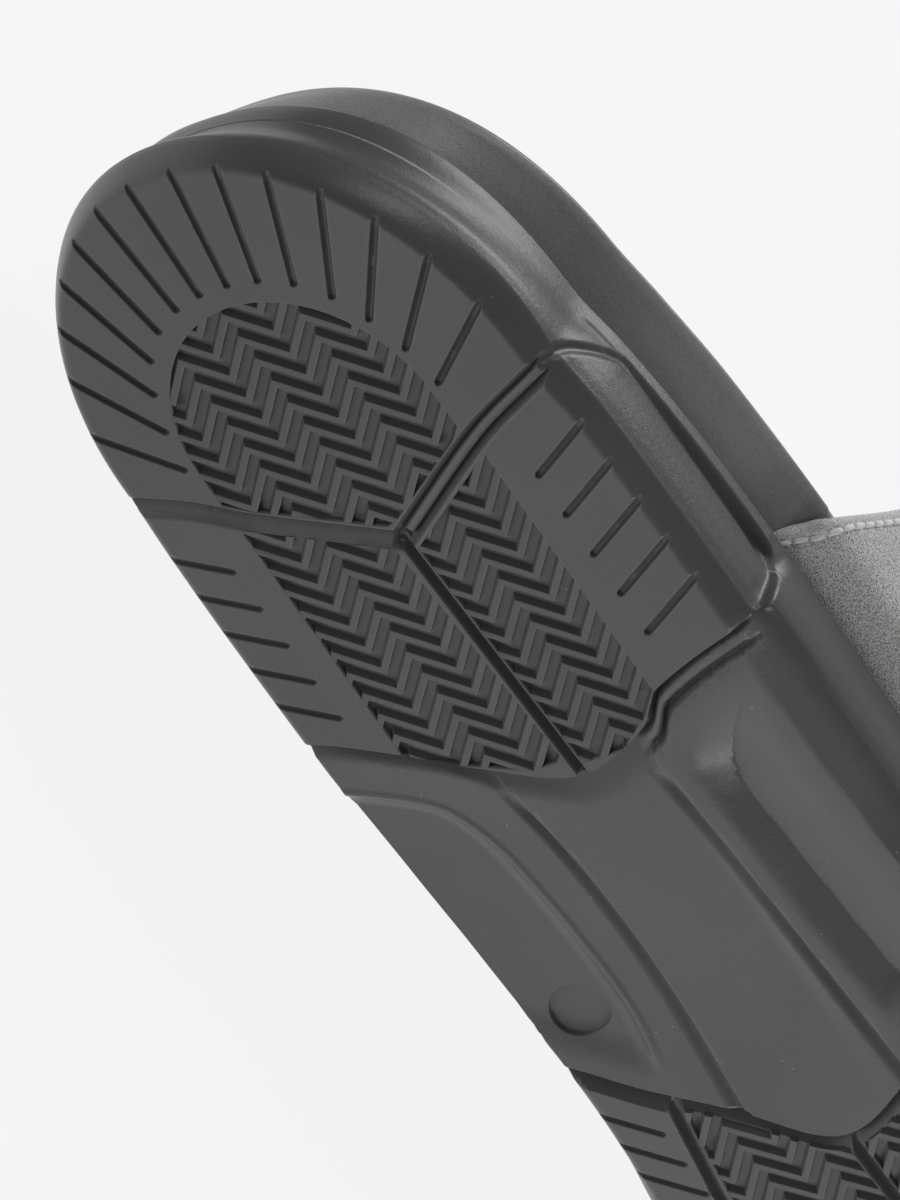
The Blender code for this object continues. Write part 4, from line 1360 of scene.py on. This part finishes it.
# Rings of the footbed: outline share from seat to rim, inset, height share likewise, lift, strap recess.
BED_COLUMNS = ("share", "inset", "level", "lift", "recess")
BED = (
    (0.0, 4.2, 0.0, 0.3, 0.0),
    (0.0, 3.1, 0.0, 0.45, 0.9),
    (0.0, 2.8, 0.0, 0.9, 1.0),
    (0.28, 1.95, 0.28, 0.35, 1.3),
    (0.55, 1.12, 0.55, 0.0, 1.3),
    (0.8, 0.5, 0.7, 0.0, 0.9),
    (1.0, 0.0, 0.8, 0.0, 0.5),
    (1.0, 0.16, 0.88, 0.0, 0.35),
    (1.0, 0.6, 0.94, 0.0, 0.1),
    (1.0, 1.3, 0.985, 0.0, 0.0),
    (1.0, 2.2, 1.0, 0.0, 0.0),
    (1.0, 3.2, 0.985, 0.0, 0.0),
    (1.0, 4.2, 0.94, 0.0, 0.0),
    (1.0, 5.4, 0.8, 0.0, 0.0),
)


def strap_here(x, inner):
    """1 where the strap lies on the side of the footbed."""
    skew = np.where(inner, 1.0, 0.0)
    rear, front = STRAP_REAR + REAR_SKEW * skew, STRAP_FRONT + FRONT_SKEW * skew
    behind = smooth(rear - RECESS_FAR, rear - RECESS_NEAR, x)
    return behind * (1 - smooth(front + RECESS_NEAR, front + RECESS_FAR, x))


def bed_ring(row):
    ring = dict(zip(BED_COLUMNS, row))
    seat, rim = outline("seat", turns), outline("rim", turns)
    here = strap_here(seat[:, 0], turns < math.pi) * ring["recess"]
    flat = seat + (rim - seat) * ring["share"]
    flat = grown(flat, -ring["inset"] - here)
    level = height("seat", flat[:, 0]) * (1 - ring["level"]) + height("rim", flat[:, 0]) * ring["level"]
    return raised(flat, level + ring["lift"])


def level_ring(inset, lift):
    """Ring inside the rim at a height above the footbed's floor."""
    flat = grown(outline("rim", turns), -inset)
    return raised(flat, height("seat", flat[:, 0]) + BED_FLOOR + lift)


bed_rings = [bed_ring(row) for row in BED]
bed_rings += [level_ring(8.0, 1.2), level_ring(10.6, 0.0)]
footbed = new_piece("footbed_skin", *loft(bed_rings), FOOTBED_RUBBER_PAINTED_LIGHT)
print("Footbed:", len(footbed.data.polygons), "faces")

# %% Insole
# Rings of the insole: inset from the rim and lift above the footbed's floor.
INSOLE = ((11.0, 0.3), (8.5, 1.55), (7.6, 2.3), (7.4, 2.7))
INSOLE += ((7.55, 3.1), (8.0, 3.3), (10.0, 3.25), (14.0, 3.1))
insole_rings = [level_ring(inset, lift) for inset, lift in INSOLE]
insole = new_piece("insole_skin", *loft(insole_rings), INSOLE_LEATHER)
print("Insole:", len(insole.data.polygons), "faces")

# %% [markdown]
# ## The strap
# One wide band of brushed leather passes over the instep and down between footbed and lower unit. Its
# rear and front edges are turned in, which makes them round and a little thicker. The band is a grid:
# columns around the foot, rows from rear to front, with a wall of its real thickness. An attribute
# marks the turned edges, so that the finish can carry a painted highlight there.

# %% Columns of the strap
STRAP_THICK, STRAP_MARGIN = 2.1, 9.0
SEAT_RECESS, RIM_RECESS = 3.4, 0.35
REAR_SWEEP, REAR_TUCK, FRONT_SWEEP, INSTEP_SHIFT = 46.0, 5.0, 16.0, -6.0
# How the edges sweep forward over the instep: first share, power, range of the rear tuck, share on the side.
SWEEP_FIRST, SWEEP_POWER, TUCK_RANGE, SIDE_RISE = 0.08, 0.62, (0.15, 0.6), 0.1
ARCH_STEPS = 19
FOOT_COLUMNS = (("margin", 0.0), ("margin", 0.5), ("margin", 0.86))
FOOT_COLUMNS += (("corner", 0.0), ("side", 0.45), ("side", 0.9))
arch_columns = [(None, "arch", (k + 0.6) / (ARCH_STEPS + 0.2)) for k in range(ARCH_STEPS)]
STRAP_COLUMNS = [(False, *c) for c in FOOT_COLUMNS] + arch_columns + [(True, *c) for c in FOOT_COLUMNS[::-1]]


def strap_ends(inner, kind, share):
    """Rear and front edge of the strap along one column."""
    tuck = 0.0
    if kind == "arch":
        across = (1 - math.cos(math.pi * share)) / 2
        rise = SWEEP_FIRST + (1 - SWEEP_FIRST) * math.sin(math.pi * share) ** SWEEP_POWER
        tuck = REAR_TUCK * smooth(*TUCK_RANGE, math.sin(math.pi * share))
    else:
        across = 1.0 if inner else 0.0
        rise = SIDE_RISE * share if kind == "side" else 0.0
    rear = STRAP_REAR + REAR_SKEW * across + REAR_SWEEP * rise + tuck
    return rear, STRAP_FRONT + FRONT_SKEW * across + FRONT_SWEEP * rise


print("Strap columns:", len(STRAP_COLUMNS))

# %% Middle surface of the strap
# Drop of the strap's round below the rim, its power and lean, and the corner's reach and rise at the seat.
ARCH_DROP, ARCH_POWER, ARCH_LEAN, CORNER_REACH, CORNER_RISE = 2.0, 0.8, 2.6, 1.2, 1.5


def strap_foot(x, inner):
    """Where the strap's middle surface meets seat and rim."""
    sign = -1.0 if inner else 1.0
    off = GAP + STRAP_THICK / 2
    seat = side("seat", x, inner) + sign * (off - SEAT_RECESS)
    return seat, side("rim", x, inner) + sign * (off - RIM_RECESS), sign


def strap_middle(inner, kind, share, x):
    """Points of the strap's middle surface on one column, at many x."""
    seat_z = height("seat", x) + GAP + STRAP_THICK / 2 + spring(x)
    rim_z = height("rim", x) - ARCH_DROP + spring(x)
    if kind == "arch":
        turn = math.pi * share
        out, inn = strap_foot(x, False)[1], strap_foot(x, True)[1]
        level = abs(math.sin(turn)) ** ARCH_POWER
        reach = math.copysign(abs(math.cos(turn)) ** ARCH_POWER, math.cos(turn))
        y = (out + inn) / 2 + (out - inn) / 2 * reach
        y = y + ARCH_LEAN * math.sin(2 * turn) + INSTEP_SHIFT * level**2
        return np.stack([x, y, rim_z + (height("instep", x) - rim_z) * level], axis=1)
    seat_y, rim_y, sign = strap_foot(x, inner)
    if kind == "margin":
        turned_in = STRAP_MARGIN * (1 - share) + CORNER_REACH * share
        return np.stack([x, seat_y - sign * turned_in, seat_z], axis=1)
    share = 0.0 if kind == "corner" else share
    z = seat_z + CORNER_RISE + (rim_z - seat_z - CORNER_RISE) * share
    return np.stack([x, seat_y + (rim_y - seat_y) * share, z], axis=1)


print("Strap at the instep:", strap_middle(None, "arch", 0.5, np.array([STRAP_FRONT]))[0].round(1), "mm")

# %% Rows of the strap
# Half thickness of a turned edge by distance from its end.
ROLL_RUNS = np.array([0.0, 0.12, 0.4, 0.8, 1.25, 1.7, 2.0, 2.3, 2.7, 3.2])
ROLL_HALF = np.array([0.25, 0.62, 1.05, 1.35, 1.45, 1.38, 1.22, 1.08, 1.0, 1.05])
MIDDLE_ROWS, FINER = 46, 4


def strap_rows():
    """Middle surface and half thickness, on the strap's own columns."""
    middle, half = [], []
    for inner, kind, share in STRAP_COLUMNS:
        rear, front = strap_ends(inner, kind, share)
        inside = np.linspace(rear + ROLL_RUNS[-1], front - ROLL_RUNS[-1], MIDDLE_ROWS)[1:-1]
        x = np.concatenate([rear + ROLL_RUNS, inside, front - ROLL_RUNS[::-1]])
        thick = np.concatenate([ROLL_HALF, np.full(len(inside), STRAP_THICK / 2), ROLL_HALF[::-1]])
        if kind == "margin":
            thick = np.minimum(thick, STRAP_THICK / 2)
        middle.append(strap_middle(inner, kind, share, x))
        half.append(thick)
    return np.array(middle), np.array(half)


def finer_columns(grid_values):
    """Smooth columns between the given ones."""
    count = len(grid_values)
    steps = np.linspace(0, count - 1, (count - 1) * FINER + 1)
    i = np.clip(steps.astype(int), 0, count - 2)
    t = (steps - i).reshape((-1,) + (1,) * (grid_values.ndim - 1))
    before, after = grid_values[np.maximum(i - 1, 0)], grid_values[np.minimum(i + 2, count - 1)]
    a, b = grid_values[i], grid_values[i + 1]
    m0, m1 = (b - before) / 2, (after - a) / 2
    return a + (b - a) * t * t * (3 - 2 * t) + t * (1 - t) ** 2 * m0 - t * t * (1 - t) * m1


middle, half = (finer_columns(v) for v in strap_rows())
print("Strap grid:", half.shape)

# %% Strap piece
# On the sides the inner face keeps the plain thickness, so no turned edge presses into the footbed.
strap_normal = np.cross(np.gradient(middle, axis=0), np.gradient(middle, axis=1))
strap_normal /= np.linalg.norm(strap_normal, axis=2)[:, :, None]
strap_outer = middle + strap_normal * half[:, :, None]
inner_half = half.copy()
FOOT_END = (len(FOOT_COLUMNS) + 1) * FINER
inner_half[:FOOT_END] = np.minimum(half[:FOOT_END], STRAP_THICK / 2)
inner_half[-FOOT_END:] = np.minimum(half[-FOOT_END:], STRAP_THICK / 2)
strap_inner = middle - strap_normal * inner_half[:, :, None]


def slab(top, bottom):
    """Points and faces of a closed wall between two grids."""
    rows, columns = top.shape[:2]
    low = rows * columns
    number = np.arange(low).reshape(rows, columns)
    corners = [number[:-1, :-1], number[:-1, 1:], number[1:, 1:], number[1:, :-1]]
    quads = np.stack(corners, axis=-1).reshape(-1, 4)
    rim = np.concatenate([number[0], number[1:, -1], number[-1, -2::-1], number[-2:0:-1, 0]])
    ahead = np.roll(rim, -1)
    sides = np.stack([ahead, rim, low + rim, low + ahead], axis=1)
    faces = np.concatenate([quads, low + quads[:, ::-1], sides])
    points = np.concatenate([top.reshape(-1, 3), bottom.reshape(-1, 3)])
    return points, [tuple(int(v) for v in f) for f in faces]


# Rows from the end over which the painted highlight of a turned edge fades out.
TURNED_ROWS = (5, 7)
strap = new_piece("strap_skin", *slab(strap_inner, strap_outer), NAPPED)
rows = np.minimum(np.arange(half.shape[1]), np.arange(half.shape[1])[::-1])
turned_edge = strap.data.attributes.new("turned_edge", "FLOAT", "POINT")
turned_edge.data.foreach_set("value", np.tile(1 - smooth(*TURNED_ROWS, rows), 2 * len(half)))
print("Strap:", len(strap.data.polygons), "faces; thickest", round(float(half.max() * 2), 2), "mm")

# %% [markdown]
# ## Stitches
# A row of thread holds each turned edge. Geometry Nodes walk along the row: the line is read at an even
# pitch, a short rounded stitch is put at each place and turned along the line, and the copies are made
# real.

# %% One stitch
STITCH_LINE, STITCH_PITCH, STITCH_LENGTH, STITCH_THICK = 2.3, 2.75, 2.45, 1.05
STITCH_RINGS, STITCH_SIDES, STITCH_POWER = 7, 8, 0.45
# How far a stitch's middle stands off the leather.
STITCH_RISE = 0.15


def stitch_piece():
    """A short rounded stitch along x, in metres."""
    points, faces = [], []
    rings, sides = STITCH_RINGS, STITCH_SIDES
    for k in range(rings):
        turn = math.pi * (k + 0.35) / (rings - 0.3)
        x = -math.cos(turn) * STITCH_LENGTH / 2
        radius = STITCH_THICK / 2 * math.sin(turn) ** STITCH_POWER
        for s in range(sides):
            around = 2 * math.pi * s / sides
            points.append((x * MM, radius * math.cos(around) * MM, radius * math.sin(around) * MM))
    for k in range(rings - 1):
        for s in range(sides):
            a, b = k * sides + s, k * sides + (s + 1) % sides
            faces.append((a, a + sides, b + sides, b))
    faces += [tuple(range(sides)), tuple(range(len(points) - sides, len(points)))[::-1]]
    mesh = plain_mesh("stitch", points, faces)
    mesh.shade_smooth()
    return linked("stitch", mesh)


one_stitch = stitch_piece()
print("One stitch:", len(one_stitch.data.polygons), "faces")

# %% Tree for a row of stitches


def stitch_tree():
    inputs = {"Pitch": "Float", "Stitch": "Object", "Finish": "Material"}
    tree, start, end = node_tree("stitches_along_line", inputs)
    curve = tree.nodes.new("GeometryNodeMeshToCurve")
    even = tree.nodes.new("GeometryNodeResampleCurve")
    even.mode = "LENGTH"
    tangent = tree.nodes.new("GeometryNodeInputTangent")
    aim = tree.nodes.new("FunctionNodeAlignRotationToVector")
    aim.axis = "X"
    shape = tree.nodes.new("GeometryNodeObjectInfo")
    copies = tree.nodes.new("GeometryNodeInstanceOnPoints")
    real = tree.nodes.new("GeometryNodeRealizeInstances")
    finish = tree.nodes.new("GeometryNodeSetMaterial")
    link = tree.links.new
    link(start.outputs["Geometry"], curve.inputs["Mesh"])
    link(curve.outputs["Curve"], even.inputs["Curve"])
    link(start.outputs["Pitch"], even.inputs["Length"])
    link(tangent.outputs["Tangent"], aim.inputs["Vector"])
    link(start.outputs["Stitch"], shape.inputs["Object"])
    link(even.outputs["Curve"], copies.inputs["Points"])
    link(shape.outputs["Geometry"], copies.inputs["Instance"])
    link(aim.outputs["Rotation"], copies.inputs["Rotation"])
    link(copies.outputs["Instances"], real.inputs["Geometry"])
    link(real.outputs["Geometry"], finish.inputs["Geometry"])
    link(start.outputs["Finish"], finish.inputs["Material"])
    link(finish.outputs["Geometry"], end.inputs["Geometry"])
    return tree


stitch_nodes = stitch_tree()
print(stitch_nodes.name, "has", len(stitch_nodes.nodes), "nodes")

# %% Stitches along the turned edges
STITCH_FIRST = 3 * FINER
stitch_row = int(np.argmin(np.abs(ROLL_RUNS - STITCH_LINE)))
stitches = []
for name, row in (("rear_stitches", stitch_row), ("front_stitches", -1 - stitch_row)):
    line = (strap_outer + strap_normal * STITCH_RISE)[STITCH_FIRST:-STITCH_FIRST, row]
    steps = [(i, i + 1) for i in range(len(line) - 1)]
    guide = linked(name + "_line", plain_mesh(name + "_line", laid(line).tolist(), [], steps))
    values = {"Pitch": STITCH_PITCH * MM, "Stitch": one_stitch, "Finish": THREAD}
    mesh = made_by(stitch_nodes, guide, values)
    piece = linked(name, mesh)
    dropped(guide)
    stitches.append(piece)
    print(name, "faces:", len(mesh.polygons))
dropped(one_stitch)

# %% [markdown]
# ## Floor, light and camera
# The sandal lies on a pale floor in soft light. A bright floor and a light beyond the toe rake over the
# tread and leave the faces that look back to the heel dark, which brings out the relief. A small lamp
# over the heel gives the wall its highlights, and a large one above and behind lights the upper side.

# %% Floor and lights
FLOOR_HALF, FLOOR_TONE, FLOOR_GLOW, SKY = 4.0, 0.06, 0.88, 0.09


def make_floor():
    material, tree, shader = blank("pale_floor")
    shader.inputs["Base Color"].default_value = (FLOOR_TONE, FLOOR_TONE, FLOOR_TONE, 1.0)
    shader.inputs["Roughness"].default_value = 0.9
    shader.inputs["Specular IOR Level"].default_value = 0.0
    shader.inputs["Emission Color"].default_value = (1.0, 1.0, 1.0, 1.0)
    shader.inputs["Emission Strength"].default_value = FLOOR_GLOW
    h = FLOOR_HALF
    mesh = plain_mesh("floor", [(-h, -h, 0), (h, -h, 0), (h, h, 0), (-h, h, 0)], [(0, 1, 2, 3)])
    mesh.materials.append(material)
    floor = linked("floor", mesh)


def soft_light(name, place, target, size, power):
    """A square soft light at a place, aimed at a target."""
    lamp = bpy.data.lights.new(name, "AREA")
    lamp.shape = "SQUARE"
    lamp.size = size
    lamp.energy = power
    light = linked(name, lamp)
    light.location = place
    aim = Vector(target) - Vector(place)
    light.rotation_euler = aim.to_track_quat("-Z", "Y").to_euler()


make_floor()
soft_light("light_beyond_toe", (0.9, -0.45, 0.1), (0.0, 0.0, 0.03), 0.6, 1.6)
soft_light("light_low_at_toe", (0.5, -0.38, 0.15), (0.05, 0.0, 0.02), 0.22, 0.7)
soft_light("light_over_heel", (-0.66, 0.0, 1.42), (-0.1, 0.0, 0.06), 0.22, 3.2)
soft_light("light_above_behind", (0.0, 1.0, 1.15), (0.0, 0.0, 0.05), 0.8, 12.5)
world = bpy.data.worlds.new("studio")
world.use_nodes = True
sky = world.node_tree.nodes["Background"]
sky.inputs["Color"].default_value = (1.0, 1.0, 1.0, 1.0)
sky.inputs["Strength"].default_value = SKY
bpy.context.scene.world = world
bpy.context.scene.view_settings.view_transform = "Standard"

# %% Camera
CAMERA_PLACE = (-0.5582, -0.83607, 0.5807)
CAMERA_AZIMUTH, CAMERA_DOWN, CAMERA_ROLL = 32.19, 29.90, 72.31
CAMERA_LENS, CAMERA_SENSOR = 214.2, 36.0
camera_data = bpy.data.cameras.new("camera")
camera_data.sensor_width = CAMERA_SENSOR
camera_data.lens = CAMERA_LENS
camera = linked("camera", camera_data)
aim = Matrix.Rotation(math.radians(-CAMERA_AZIMUTH), 4, "Z")
aim = aim @ Matrix.Rotation(math.radians(90 - CAMERA_DOWN), 4, "X")
aim = aim @ Matrix.Rotation(math.radians(CAMERA_ROLL), 4, "Z")
camera.matrix_world = Matrix.Translation(CAMERA_PLACE) @ aim
bpy.context.scene.camera = camera
print("Camera looks along", tuple(round(v, 3) for v in aim @ Vector((0, 0, -1))))

# %% [markdown]
# ## Pieces on the body
# Every piece moves with the one body and stands for the solid that it covers.

# %% Ride, replace and finish
for piece in [outsole, footbed, insole, strap] + ribs + stitches:
    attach(piece, "root")
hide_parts("outsole")
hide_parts("footbed")
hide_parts("insole")
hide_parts("strap")
